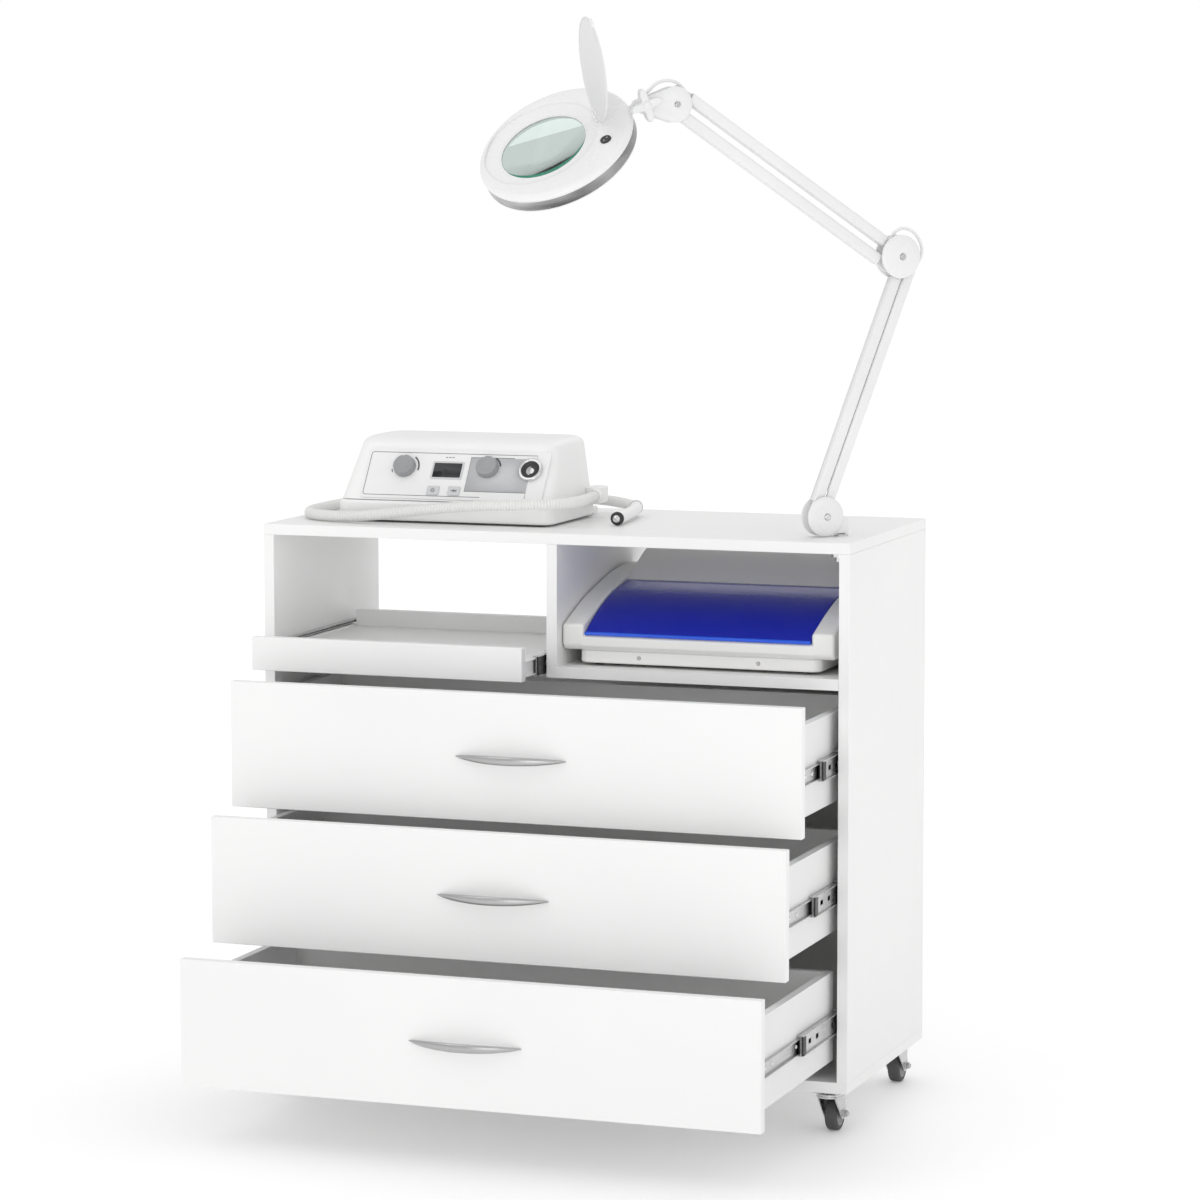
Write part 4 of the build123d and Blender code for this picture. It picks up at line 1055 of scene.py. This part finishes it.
# a shallow curved lid that stands open over the lens, with a finger tab and two hinge arms
def buildCover():
    hinge = jointPoint("lens_cover_hinge")
    turn = radians(110)
    out = headRight * -cos(turn) + headUp * sin(turn)
    face = headRight * sin(turn) + headUp * cos(turn)
    centre = hinge + out * 76 * mm
    plane = basis(centre, out, face)
    r = 72.0
    outside = [(r * sin(pi / 2 * k / 14), 2.3 + 3.4 * cos(pi / 2 * k / 14)) for k in range(15)]
    inside = [(r - 1.4, 0.4), (r - 2.2, 0.2), (r - 2.6, 1.2)] + [
        ((r - 2.6) * sin(pi / 2 * k / 12), 1.2 + 2.8 * cos(pi / 2 * k / 12)) for k in range(11, -1, -1)]
    rim = [(r + 0.1, 1.2), (r - 0.3, 0.5)]
    profile = [(a, b - 1.6) for a, b in outside + rim + inside]
    cover = lathe("lensCover", plane, profile, "coverWhite", "lens_cover", "lamp_white", 96)
    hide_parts("lens_cover")
    prism("lensCoverTab", basis(centre + out * 71 * mm, out, face), roundedRect(9, 17, 3, 5, (1.5, 0)),
                -1.2, 1.6, "lampWhite", "lens_cover", "lamp_white", 0.7)
    for offset in (-6.5, 6.5):
        arm = basis(hinge + headRear * offset * mm, out, face)
        prism("lensCoverArm" + ("A" if offset < 0 else "B"), arm, roundedRect(15, 4.4, 1.4, 4, (5.5, 0)),
              -1.4, 1.4, "lampWhite", "lens_cover", "lamp_white", 0.5)
    barrel = basis(hinge - headRear * 9.3 * mm, out, headRear)
    lathe("lensCoverBarrel", barrel, [(1.6, 0), (2.9, 0), (3.1, 0.4), (3.1, 18.2), (2.9, 18.6), (1.6, 18.6)],
          "lampWhite", "lens_cover", None, 28, True)


def buildHingeLugs():
    hinge = jointPoint("lens_cover_hinge")
    for offset in (-12, 12):
        lug = basis(headPoint(65, offset, 0), headRight, headRear)
        outline = [(-3.6, 2.6), (3.6, 2.6)]
        for step in range(13):
            turn = pi * -step / 12
            outline.append((3.0 * cos(turn), -7 + 3.0 * sin(turn)))
        prism("coverLug" + ("A" if offset < 0 else "B"), lug, outline, -2, 2,
              "lampWhite", "head", "lamp_white", 0.4, 2)
    lathe("coverPin", basis(hinge - headRear * 15.4 * mm, headRight, headRear),
          [(0, 0), (1.2, 0), (1.5, 0.3), (1.5, 30.5), (1.2, 30.8), (0, 30.8)], "chrome", "head", None, 24)


def buildHeadSwitch():
    x, y = headSize["switch"]
    plane = headFrame @ Matrix.Translation(Vector((x, y, 0)) * mm)
    r = headSize["switchRadius"]
    cap = lathe("headSwitchCap", plane, [(0, -5.8), (r - 0.4, -5.8), (r - 0.1, -5), (r - 0.1, 2.0),
                                         (r - 0.9, 2.6), (r - 2.4, 2.3), (0, 2.1)], "blackPlastic",
                "head_switch", "black_switch", 48)
    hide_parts("head_switch")
    for angle in (0.6, 0.6 + pi):
        mark = Matrix.Translation(Vector((3.2 * cos(angle), 3.2 * sin(angle), 0)) * mm)
        lathe("headSwitchMark" + ("A" if angle < 2 else "B"), plane @ mark,
              [(0.75, 2.0), (1.15, 2.0), (1.15, 2.5), (0.75, 2.5)], "keyGrey", "head_switch", None, 20, True)


# the light ring under the head: a frosted diffuser between two lips, and the white tube round the lens
def buildUnderside():
    size = headSize
    lensC = size["lens"]
    rows = [((0, 0), 110.8, -26.2), ((0, 0), 110.9, -28.2), ((0, 0), 109.6, -28.9), ((0, 0), 104, -28.6),
            (lensC, 78, -28.6), (lensC, 74, -28.8), (lensC, 72.5, -27.6), (lensC, 72.5, -26.2)]
    headRings("headDiffuser", rows, 120, "diffuser", "lamp_white")
    tubeFrame = headFrame @ Matrix.Translation(Vector((*lensC, 0)) * mm)
    lathe("lensTube", tubeFrame, [(66.2, -9.7), (67.6, -9.7), (73.4, -26.4), (72.0, -26.4), (66.0, -14.5)],
          "diffuser", "head", "lamp_white", 96, True)


# a painted green reflection of the glass edge: an opaque crescent at the low side of the lens
def buildPaintedLensReflection():
    centre, radius = headSize["lens"], 61.7
    steps = 60
    points = []
    for step in range(steps + 1):
        share = step / steps
        turn = radians(-165 + 140 * share)
        wide = 0.3 + 6.6 * sin(pi * share)
        for r, z in ((radius, -5.2), (radius - wide, -5.3), (radius - wide, -6.0), (radius, -6.2)):
            points.append(headPoint(centre[0] + r * cos(turn), centre[1] + r * sin(turn), z))
    addMesh("paintedLensReflectionRing", points, ringFaces(steps + 1, 4, False, True), "paintedLensReflection", "head", True,
            "lens_glass")


buildHeadShell()
buildBand()
buildCover()
buildHingeLugs()
buildHeadSwitch()
buildUnderside()
paintNode("lens", "lens")
buildPaintedLensReflection()
paintNode("head_link", "lampWhite")
print("lamp head built")


unitSize = {"left": -365.0, "right": -25.0, "front": -125.0, "back": 70.0, "seam": 887.0, "ridge": 977.0,
            "foot": 857.0, "lean": 34.0, "sideLean": 8.0, "corner": 20.0}
panelFrame = basis(spot(0, unitSize["front"] + 5, unitSize["seam"]), toRight,
                   Vector((0, -cos(radians(unitSize["lean"])), sin(radians(unitSize["lean"])))))


def panelPoint(x, rise, out):
    return panelFrame @ (Vector((x, rise, out)) * mm)


# rows of a rounded footprint from the seam to the roof: the front leans back, the sides lean in
def buildUnitShell():
    size = unitSize
    frontFoot, backFoot, brow = size["front"] + 5.0, size["back"] - 2.0, 76.0
    slope, lean = tan(radians(size["lean"])), tan(radians(size["sideLean"]))
    middle = (size["left"] + size["right"]) / 2
    rows = [(height, height * lean, frontFoot + height * slope, backFoot)
            for height in (0.2, 1.2, 12, 30, 50, 66, 72, brow)]
    for step in range(1, 9):
        turn = pi / 2 * step / 8
        pull = 14 * (1 - cos(turn))
        rows.append((brow + (size["ridge"] - size["seam"] - brow) * sin(turn), brow * lean + pull,
                     frontFoot + brow * slope + pull * 2.6, backFoot - pull))
    points = []
    for height, inset, front, back in rows:
        wide = size["right"] - size["left"] - 4 - 2 * inset
        outline = roundedRect(wide, back - front, size["corner"], 7, (middle, (front + back) / 2))
        points += [spot(x, y, size["seam"] + height) for x, y in outline]
    faces = ringFaces(len(rows), len(outline), False, True)
    shell = addMesh("drillShell", points, faces, "unitWhite", "cabinet", True, "unit_white")
    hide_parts("drill_housing")
    foot = roundedRect(size["right"] - size["left"], size["back"] - size["front"], 18, 7,
                       (middle, (size["front"] + size["back"]) / 2))
    prism("drillBase", upright(0, 0, 0), foot, size["foot"], size["seam"] - 0.8, "unitWhite", "cabinet",
          "unit_white", 4.6, 5)
    prism("drillBackLedge", upright(0, 0, 0), roundedRect(324, 50, 8, 5, (-197, 83)), size["foot"], 866,
          "unitWhite", "cabinet", "unit_white", 1.8)
    feet = [(x, y) for x in (size["left"] + 25, size["right"] - 25)
            for y in (size["front"] + 25, size["back"] - 25)]
    for index, (x, y) in enumerate(feet):
        lathe(f"drillFoot{index}", upright(x, y, 854.1), [(0, 0), (7.2, 0), (8, 0.8), (8, 3.2), (0, 3.2)],
              "rubber", "cabinet", None, 28)


# the bracket at the right rear corner and the cuff that grips the end of the hose
def buildHoseSocket():
    plane = upright(0, 0, 0)
    prism("hoseBracket", plane, roundedRect(25, 40, 6, 6, (-17.5, 50)), 876, 901,
          "unitWhite", "cabinet", "unit_white", 2.4, 4)
    cuff = basis(spot(-12, 31.5, 888), toRight, Vector((0, -1, 0)))
    lathe("hoseCuff", cuff, [(8.2, 0), (11, 0), (11, 1.5), (10.6, 8), (10.0, 9.3), (8.6, 9.5), (8.2, 9.0)],
          "unitWhite", "cabinet", "unit_white", 48, True)


# a thin printed line along a path on the panel
def inkLine(name, points, wide=0.8, out=1.92):
    rows = []
    count = len(points)
    for index, (x, y) in enumerate(points):
        before, after = points[max(index - 1, 0)], points[min(index + 1, count - 1)]
        dx, dy = after[0] - before[0], after[1] - before[1]
        long = hypot(dx, dy)
        nx, ny = -dy / long * wide / 2, dx / long * wide / 2
        rows.append(((x + nx, y + ny), (x - nx, y - ny)))
    shape = []
    for z in (out - 0.2, out):
        shape += [panelPoint(x, y, z) for pair in rows for x, y in pair]
    low = 2 * count
    faces = []
    for k in range(count - 1):
        a, b, c, d = 2 * k, 2 * k + 1, 2 * k + 3, 2 * k + 2
        faces += [(a, b, c, d), (low + a, low + b, low + c, low + d), (a, d, low + d, low + a),
                  (b, c, low + c, low + b)]
    faces += [(0, 1, low + 1, low), (2 * count - 2, 2 * count - 1, low + 2 * count - 1, low + 2 * count - 2)]
    addMesh(name, shape, faces, "fasciaInk", "cabinet", False)


def arc(centre, radius, start, end, steps=20):
    return [(centre[0] + radius * cos(radians(start + (end - start) * k / steps)),
             centre[1] + radius * sin(radians(start + (end - start) * k / steps))) for k in range(steps + 1)]


panelSize = {"speed": (-268.0, 55.0), "suction": (-137.0, 57.0), "inlet": (-69.0, 55.0),
             "power": (-215.3, 16.8), "mode": (-182.4, 16.9), "knobRadius": 17.0, "knobTall": 11.0,
             "frameLeft": -326.0, "frameRight": -63.0, "frameLow": 8.0, "frameHigh": 80.0}


def buildPanel():
    size = panelSize
    sheet = prism("panelSheet", panelFrame, roundedRect(288, 84, 6, 6, (-186.5, 45)), 0.3, 1.75,
                  "fasciaFilm", "cabinet", "fascia_grey", 0.3, 2)
    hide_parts("drill_fascia")
    left, right, corner = size["frameLeft"], size["frameRight"], 4.0
    low, high = size["frameLow"], size["frameHigh"]
    outline = [(-140, low), (left + corner, low)] + arc((left + corner, low + corner), corner, 270, 180, 8)
    outline += arc((left + corner, high - corner), corner, 180, 90, 8) + [(right, high), (right, high - 12)]
    outline = [point for index, point in enumerate(outline)
               if index == 0 or dist(point, outline[index - 1]) > 0.3]
    inkLine("panelFrameLine", outline)
    prism("suctionField", panelFrame, [(-166, 18), (-70, 18), (-70, 74), (-166, 74)], 1.72, 1.95,
          "fasciaGrey", "cabinet", "fascia_grey")
    inkLine("suctionFieldEdge", [(-70, 8), (-70, 17.4), (-166.5, 17.4), (-166.5, 74.6), (-98, 74.6)], 0.7,
            2.02)
    prism("displayBezel", panelFrame, roundedRect(50, 30, 2.5, 5, (-200, 51.5)), 1.7, 2.5,
          "keyGrey", "cabinet", None, 0.3, 2)
    prism("displayGlass", panelFrame, roundedRect(44, 24, 0.8, 4, (-200, 51.5)), 1.9, 2.62,
          "screen", "cabinet", None)
    inkLine("speedArcRight", arc(size["speed"], 21.5, 55, -12), 2.4)
    inkLine("speedArcLeft", arc(size["speed"], 20.5, 205, 190, 4), 1.4)
    inkLine("suctionArc", arc(size["suction"], 19.5, 62, 12, 12), 2.6, 2.1)
    for index, (x, y) in enumerate(((-205, 73.5), (-200, 73.5), (-195, 73.5))):
        inkLine(f"panelDash{index}", [(x - 1.6, y), (x + 1.6, y)], 1.1)


def buildInlet():
    plane = panelFrame @ Matrix.Translation(Vector((*panelSize["inlet"], 0)) * mm)
    lathe("inletRing", plane, [(13.6, 5.2), (18.3, 0.4), (18.6, 1.2), (18.3, 6.4), (16.8, 7.2), (15.0, 7.25),
                               (13.9, 6.6)], "chrome", "cabinet", "fascia_grey", 72, True)
    lathe("inletBowl", plane, [(0, 0.6), (13.9, 0.6), (13.9, 6.2), (13.2, 6.0),
                               (11.5, 3.2), (8, 2.0), (0, 1.4)], "blackPlastic", "cabinet", None, 56)


# a control knob with finger flutes, a soft crown and a pointer notch
def buildKnob(name, centre, body, node, notch):
    size = panelSize
    r, tall = size["knobRadius"], size["knobTall"]
    plane = panelFrame @ Matrix.Translation(Vector((*centre, 2.2)) * mm)
    rows = [(0.0, 0.985), (0.6, 1.0), (3.0, 1.0), (tall - 3.2, 0.955)]
    for step in range(1, 7):
        turn = pi / 2 * step / 6
        rows.append((tall - 3.2 + 3.2 * sin(turn), 0.955 - 0.14 * (1 - cos(turn))))
    rows += [(tall - 0.25, 0.66), (tall - 0.9, 0.60), (tall - 1.0, 0.3)]
    sides = 144
    points = []
    for z, scale in rows:
        for k in range(sides):
            turn = 2 * pi * k / sides
            flute = 0.55 * max(0.0, cos(12 * turn)) ** 6 * (1 if 0.5 < z < tall - 1.5 else 0.3)
            away = atan2(sin(turn - notch), cos(turn - notch))
            flute += 1.6 * exp(-(away / 0.11) ** 2) * (1 if z > 1.0 and scale > 0.7 else 0)
            reach = r * scale - flute
            points.append(plane @ (Vector((reach * cos(turn), reach * sin(turn), z)) * mm))
    faces = ringFaces(len(rows), sides, False, True)
    knob = addMesh(name, points, faces, "knobSilver", body, True, "knob_silver")
    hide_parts(node)
    lathe(name + "Skirt", plane, [(0, -1.0), (9, -1.0), (9, 0.4), (0, 0.4)], "hub", body, None, 32)


def buildKey(name, centre, body, node, mark):
    plane = panelFrame @ Matrix.Translation(Vector((*centre, 0)) * mm)
    key = prism(name, plane, roundedRect(19, 15, 2, 5), -2.8, 3.7, "keyGrey", body, "button_grey", 0.6)
    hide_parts(node)
    if mark == "power":
        rows = [[(2.6 * cos(radians(a)), 2.6 * sin(radians(a))) for a in range(125, 416, 12)],
                [(0, 0.6), (0, 3.6)]]
    else:
        rows = [[(-4.2, 0), (2.2, 0)], [(-0.6, 1.9), (2.4, 0.0), (-0.6, -1.9)], [(4.0, -2.2), (4.0, 2.2)]]
    for index, row in enumerate(rows):
        path = [plane @ (Vector((x, y, 3.95)) * mm) for x, y in row]
        tube(f"{name}Mark{index}", path, 0.45, "fasciaInk", body, None, 8)


buildUnitShell()
buildHoseSocket()
buildPanel()
buildInlet()
buildKnob("speedKnob", panelSize["speed"], "speed_knob", "knob_speed", radians(98))
buildKnob("suctionKnob", panelSize["suction"], "suction_knob", "knob_suction", radians(112))
buildKey("powerKey", panelSize["power"], "power_button", "button_power", "power")
buildKey("modeKey", panelSize["mode"], "mode_button", "button_mode", "mode")
print("drill unit built")


uvSize = {"x0": 12.5, "x1": 421.5, "front": -180.0, "back": 140.0, "tub": 665.5, "step": 684.0, "cheek": 33.0}
cheekLine = [(-180, 721), (-104, 747.8), (-35, 765.5), (37, 779), (100, 783)]
lidLine = [(-179, 709), (-152, 724), (-110, 742), (-58, 757), (8, 767.5)]
hoodLine = [(13, 768), (60, 792), (105, 808), (140, 806)]


# a smooth line through a few points, by Catmull-Rom steps
def smoothLine(points, steps=6):
    padded = [points[0], *points, points[-1]]
    line = []
    for a, b, c, d in zip(padded, padded[1:], padded[2:], padded[3:]):
        for k in range(steps):
            t = k / steps
            line.append(tuple(0.5 * (2 * q + (r - p) * t + (2 * p - 5 * q + 4 * r - s) * t * t
                                     + (3 * q - p - 3 * r + s) * t ** 3) for p, q, r, s in zip(a, b, c, d)))
    return line + [points[-1]]


def sidePrism(name, outline, x0, x1, material, slotName, body="cabinet", bevel=0.0, segments=3):
    return prism(name, sideways(0, 0, 0), outline, x0, x1, material, body, slotName, bevel, segments)


def buildSteriliserBody():
    size = uvSize
    inner0, inner1 = size["x0"] + size["cheek"], size["x1"] - size["cheek"]
    top = smoothLine(cheekLine)
    outline = top + [(132, 781), (140, 774), (140, size["step"]), (-172, size["step"]),
                     (-180, size["step"] + 7)]
    for name, x0, x1 in (("Left", size["x0"], inner0), ("Right", inner1, size["x1"])):
        cheek = sidePrism(f"steriliser{name}Cheek", outline, x0, x1, "sterilWhite", "steriliser_white",
                          "cabinet", 4.5, 5)
    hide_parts("steriliser_body")
    sidePrism("steriliserFrontRail", [(-180, 691), (-173, 684), (-170, 684), (-170, 707), (-176, 707),
                                      (-180, 703)], inner0 - 4, inner1 + 4, "sterilWhite", "steriliser_white",
              "cabinet", 1.6, 3)
    sidePrism("steriliserFloor", [(-172, 684), (136, 684), (136, 688), (-172, 688)], inner0 - 4, inner1 + 4,
              "sterilWhite", "steriliser_white")
    hood = smoothLine(hoodLine)
    sidePrism("steriliserHood", hood + [(140, 684), (136, 684), (136, 801), (105, 803.5), (60, 787.5),
                                        (16, 764.5)], inner0 - 1, inner1 + 1, "sterilWhite",
              "steriliser_white", "cabinet", 1.2, 3)
    middle = ((size["x0"] + size["x1"]) / 2, (size["front"] + 8 + size["back"] - 10) / 2)
    tub = roundedRect(size["x1"] - size["x0"] - 44, size["back"] - size["front"] - 18, 16, 7, middle)
    prism("steriliserTub", upright(0, 0, 0), tub, size["tub"], size["step"] + 0.4, "sterilWhite", "cabinet",
          "steriliser_white", 3.0, 4)
    for index, x in enumerate((127, 307)):
        seat = basis(spot(x, size["front"] + 8.0, 675), toRight, Vector((0, -1, 0)))
        buildScrew(f"steriliserScrew{index}", seat, 2.6, 1.0, "cabinet", 0.7 + index, "zinc")
    feet = [(x, y) for x in (size["x0"] + 45, size["x1"] - 45)
            for y in (size["front"] + 35, size["back"] - 40)]
    for index, (x, y) in enumerate(feet):
        lathe(f"steriliserFoot{index}", upright(x, y, 661.1),
              [(0, 0), (6.4, 0), (7, 0.7), (7, 4.6), (0, 4.6)], "rubber", "cabinet", None, 28)


def buildSteriliserInside():
    size = uvSize
    inner0, inner1 = size["x0"] + size["cheek"], size["x1"] - size["cheek"]
    for index, y in enumerate((20, 52)):
        glassTube = sideways(inner0 + 22, y, 745)
        long = inner1 - inner0 - 44
        lathe(f"uvTube{index}", glassTube, [(0, 0), (6.5, 0), (7.7, 1.2), (7.7, (long - 1.2)),
                                            (6.5, long), (0, long)], "diffuser", "cabinet", None, 28)
        for end, x in (("A", inner0 - 2), ("B", inner1 - 22)):
            holder = sideways(x, y, 745)
            lathe(f"uvHolder{index}{end}", holder, [(0, 0), (9.4, 0), (9.4, 23), (8.6, 24),
                                                    (0, 24)], "sterilWhite", "cabinet", None, 28)


def buildLid():
    size = uvSize
    inner0, inner1 = size["x0"] + size["cheek"] + 1.5, size["x1"] - size["cheek"] - 1.5
    line = smoothLine(lidLine)
    under = [(y + 1.0, z - 3.4) for y, z in reversed(line)]
    lid = sidePrism("steriliserLid", line + under, inner0, inner1, "blueLid", "blue_lid", "steriliser_lid",
                    0.8, 2)
    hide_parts("steriliser_lid")
    sidePrism("steriliserLidEdge", [(-181.2, 706.8), (-178.6, 706.2), (-176.4, 708.6), (-177.8, 711.6),
                                    (-180.2, 710.0)], inner0, inner1, "blueEdge", "blue_lid",
              "steriliser_lid", 0.5, 2)
    hinge = jointPoint("steriliser_lid_hinge")
    lathe("steriliserLidPin", basis(Vector((spot(inner0 - 5.4, 0, 0).x, hinge.y, hinge.z)), toRear, toRight),
          [(0, 0), (2, 0), (2, (inner1 - inner0 + 10.8)), (0, (inner1 - inner0 + 10.8))], "zinc",
          "steriliser_lid", None, 20)


finish["blueEdge"] = grainMaterial("blueLidEdge", (0.02, 0.12, 0.80), (0.015, 0.09, 0.7), 0.12, 0.2, 900, 8.0,
                                   0.05)
buildSteriliserBody()
buildSteriliserInside()
buildLid()
print("steriliser built")


castorSize = {"x": 415.0, "front": -166.0, "rear": 160.0, "trail": 24.0, "wheel": 25.0, "axleZ": 25.0,
              "half": 9.0}


def cornerLabel(corner):
    return "".join(word.capitalize() for word in corner.split("_"))


def castorPoint(corner, x, y, z):
    side = -1 if "left" in corner else 1
    end = castorSize["front"] if "front" in corner else castorSize["rear"]
    return spot(side * castorSize["x"] + x, end + y, z)


def wheelFrame(corner, x):
    return basis(castorPoint(corner, x, castorSize["trail"], castorSize["axleZ"]), toRear, toRight)


def buildCastor(corner):
    body = f"{corner}_castor"
    label = cornerLabel(corner)
    size = castorSize
    up = basis(castorPoint(corner, 0, 0, 0), toRight, toTop)
    crown = lathe(f"castorCrown{label}", up, [
        (5.1, 53.5), (17.5, 53.5), (19.6, 54.0), (20.5, 55.4), (20.5, 56.4),
        (19.3, 57.0), (19.3, 57.7), (20.3, 58.3), (20.2, 59.6), (18.8, 60.5),
        (5.1, 60.5)], "chrome", body, "castor_chrome", 56, True)
    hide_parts(f"{corner}_castor_fork")
    outline = [(-15, 57), (-15, 51), (12, 22), (17, 17.8), (27, 16.6), (33, 21), (34, 29), (31, 40), (32, 50),
               (31, 56.5), (14, 58)]
    shape = smoothLine(outline + [outline[0]], 4)[:-1]
    for side in (-1, 1):
        leg = basis(castorPoint(corner, 0, 0, 0), toRear, toRight)
        low, high = (11.5, 13.9) if side > 0 else (-13.9, -11.5)
        name = f"castorLeg{label}" + ("Right" if side > 0 else "Left")
        prism(name, leg, shape, low, high, "stamped", body, "castor_chrome", 0.8, 3)
        out = 13.6 * side
        boss = basis(castorPoint(corner, out, size["trail"], size["axleZ"]), toRear, Vector((side, 0, 0)))
        lathe(f"castorBoss{label}" + ("Right" if side > 0 else "Left"), boss,
              [(0, 0), (7.4, 0), (7.0, 0.9), (5.6, 1.1), (0, 1.1)], "stamped", body, None, 36)
    axle = wheelFrame(corner, -16)
    lathe(f"castorAxle{label}", axle, [(0, 0), (2.6, 0), (3, 0.4), (3, 36.5), (2.5, 37.2),
                                       (0, 37.4)], "zinc", body, None, 24)
    nutFrame = wheelFrame(corner, 14.6)
    prism(f"castorNut{label}", nutFrame, around((0, 0), 5.2, 6), 0, 4.6, "zinc", body, None, 0.5, 2)
    head = wheelFrame(corner, -16.4)
    lathe(f"castorRivet{label}", head, [(0, -1.4), (3.4, -1.0), (4.6, 0.4), (4.6, 1.6),
                                        (0, 1.6)], "zinc", body, None, 28)


def buildWheel(corner):
    body = f"{corner}_wheel"
    label = cornerLabel(corner)
    plane = wheelFrame(corner, 0)
    half, r = castorSize["half"], castorSize["wheel"]
    tread = []
    for side in (-1, 1):
        arcPoints = [(r - 4 + 4 * sin(pi / 2 * k / 6), side * (half - 4 + 4 * cos(pi / 2 * k / 6)))
                     for k in range(7)]
        arcPoints = [(18.3, side * half), (19.5, side * half)] + arcPoints
        tread += arcPoints if side < 0 else arcPoints[::-1]
    tyre = lathe(f"castorTyre{label}", plane, tread, "rubber", body, "castor_tyre", 72, True)
    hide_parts(f"{corner}_castor_wheel")
    hub = [(3.1, -half - 1.4), (5.6, -half - 1.4), (6.2, -half + 0.2), (7.4, -half + 1.6),
           (14.6, -half + 1.6), (15.6, -half + 0.3), (18.25, -half + 0.2), (18.25, half - 0.2),
           (15.6, half - 0.3), (14.6, half - 1.6), (7.4, half - 1.6), (6.2, half - 0.2), (5.6, half + 1.4),
           (3.1, half + 1.4)]
    lathe(f"castorHub{label}", plane, hub, "hub", body, None, 56, True)


def buildPlate(corner):
    label = cornerLabel(corner)
    up = basis(castorPoint(corner, 0, 0, 0), toRight, toTop)
    plate = prism(f"castorPlate{label}", up, roundedRect(42, 50, 5, 5), 63.5, 65.9, "chrome", "cabinet",
                  "castor_chrome", 0.5, 2)
    lathe(f"castorRace{label}", up, [(0, 60.9), (13.6, 60.9), (15, 61.6), (15.8, 63.4),
                                     (17.5, 63.7), (0, 63.7)], "chrome", "cabinet", None, 48)
    lathe(f"castorKingpin{label}", up, [(0, 50.2), (3.4, 50.4), (6.4, 51.2), (7, 52.2), (7, 53.1),
                                        (4.9, 53.2), (4.9, 61.2), (0, 61.2)], "zinc", "cabinet", None, 32)
    for index, (x, y) in enumerate(((-16, -20), (16, -20), (-16, 20), (16, 20))):
        seat = basis(castorPoint(corner, x, y, 63.6), toRight, Vector((0, 0, -1)))
        lathe(f"castorScrew{label}{index}", seat, [(0, -0.5), (3.4, -0.5), (3.1, 0.9), (1.6, 1.5), (1.3, 0.7),
                                                   (0, 0.6)], "zinc", "cabinet", None, 24)
    return plate


def buildBrake(corner):
    body = f"{corner}_brake"
    label = cornerLabel(corner)
    side = basis(castorPoint(corner, 0, 0, 0), toRear, toRight)
    outline = [(25.5, 54.2), (40, 54.3), (50, 55.3), (60, 57.6), (69, 60.4), (70.4, 62.2), (69.4, 63.6),
               (60, 61.4), (48, 58.6), (36, 57.6), (25.5, 57.5)]
    pedal = prism(f"brakePedal{label}", side, outline, -10.8, 10.8,
                  "blackPlastic", body, "brake_pedal", 0.7, 3)
    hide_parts(f"{corner}_brake_pedal")
    for index, y in enumerate((54, 58, 62, 66)):
        rise = 59.9 + (y - 54) * 0.27
        path = [castorPoint(corner, x, y, rise) for x in (-9, 9)]
        tube(f"brakeRib{label}{index}", path, 0.7, "blackPlastic", body, None, 10)
    barrel = basis(castorPoint(corner, -10.8, 26, 54.2), toRear, toRight)
    lathe(f"brakeBarrel{label}", barrel, [(1.6, 0), (3.4, 0), (3.6, 0.3), (3.6, 21.3), (3.4, 21.6),
                                          (1.6, 21.6)], "stamped", body, None, 28, True)
    pin = basis(castorPoint(corner, -14.6, 26, 54.2), toRear, toRight)
    lathe(f"brakePin{label}", pin, [(0, 0), (2.4, 0.2), (2.4, 0.8), (1.5, 0.9), (1.5, 28.3), (2.4, 28.4),
                                    (2.4, 29.0), (0, 29.2)], "zinc", f"{corner}_castor", None, 20)


castorCorners = ["front_left", "front_right", "rear_left", "rear_right"]
for corner in castorCorners:
    buildCastor(corner)
    buildWheel(corner)
    buildPlate(corner)
    if corner.startswith("front"):
        buildBrake(corner)
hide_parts("castor_plates")
print("castors built")


def addFloor():
    half = floorHalf
    mesh = bpy.data.meshes.new("floor")
    mesh.from_pydata([(-half, -half, 0), (half, -half, 0), (half, half, 0), (-half, half, 0)], [],
                     [(0, 1, 2, 3)])
    floor = bpy.data.objects.new("floor", mesh)
    bpy.context.scene.collection.objects.link(floor)
    mesh.materials.append(floorMaterial())
    return floor


# the floor's half side, and the distances between which its painted glow rises towards plain white, in metres
floorHalf = 14.0
glowRange = {"From Min": 0.4, "From Max": 3.5, "To Min": 0.15, "To Max": 0.36}


# pale paper with a painted glow that lightens the shadow near the cabinet and lifts to plain white away from
# it
def floorMaterial():
    material = grainMaterial("floorPaperGlow", grey(0.93), grey(0.92), 0.6, 0.7, 60, 0.5, 0.02)
    tree = material.node_tree
    coords = tree.nodes.new("ShaderNodeTexCoord")
    far = tree.nodes.new("ShaderNodeVectorMath")
    far.operation = "LENGTH"
    glow = tree.nodes.new("ShaderNodeMapRange")
    for socket, value in glowRange.items():
        glow.inputs[socket].default_value = value
    tree.links.new(coords.outputs["Object"], far.inputs[0])
    tree.links.new(far.outputs["Value"], glow.inputs["Value"])
    shader = tree.nodes["Principled BSDF"]
    # the emission is a painted glow: faint near the cabinet, where it lightens the cast shadow, stronger
    # further out
    tree.links.new(glow.outputs["Result"], shader.inputs["Emission Color"])
    shader.inputs["Emission Strength"].default_value = 1.0
    return material


addFloor()
addCamera()
addLights()
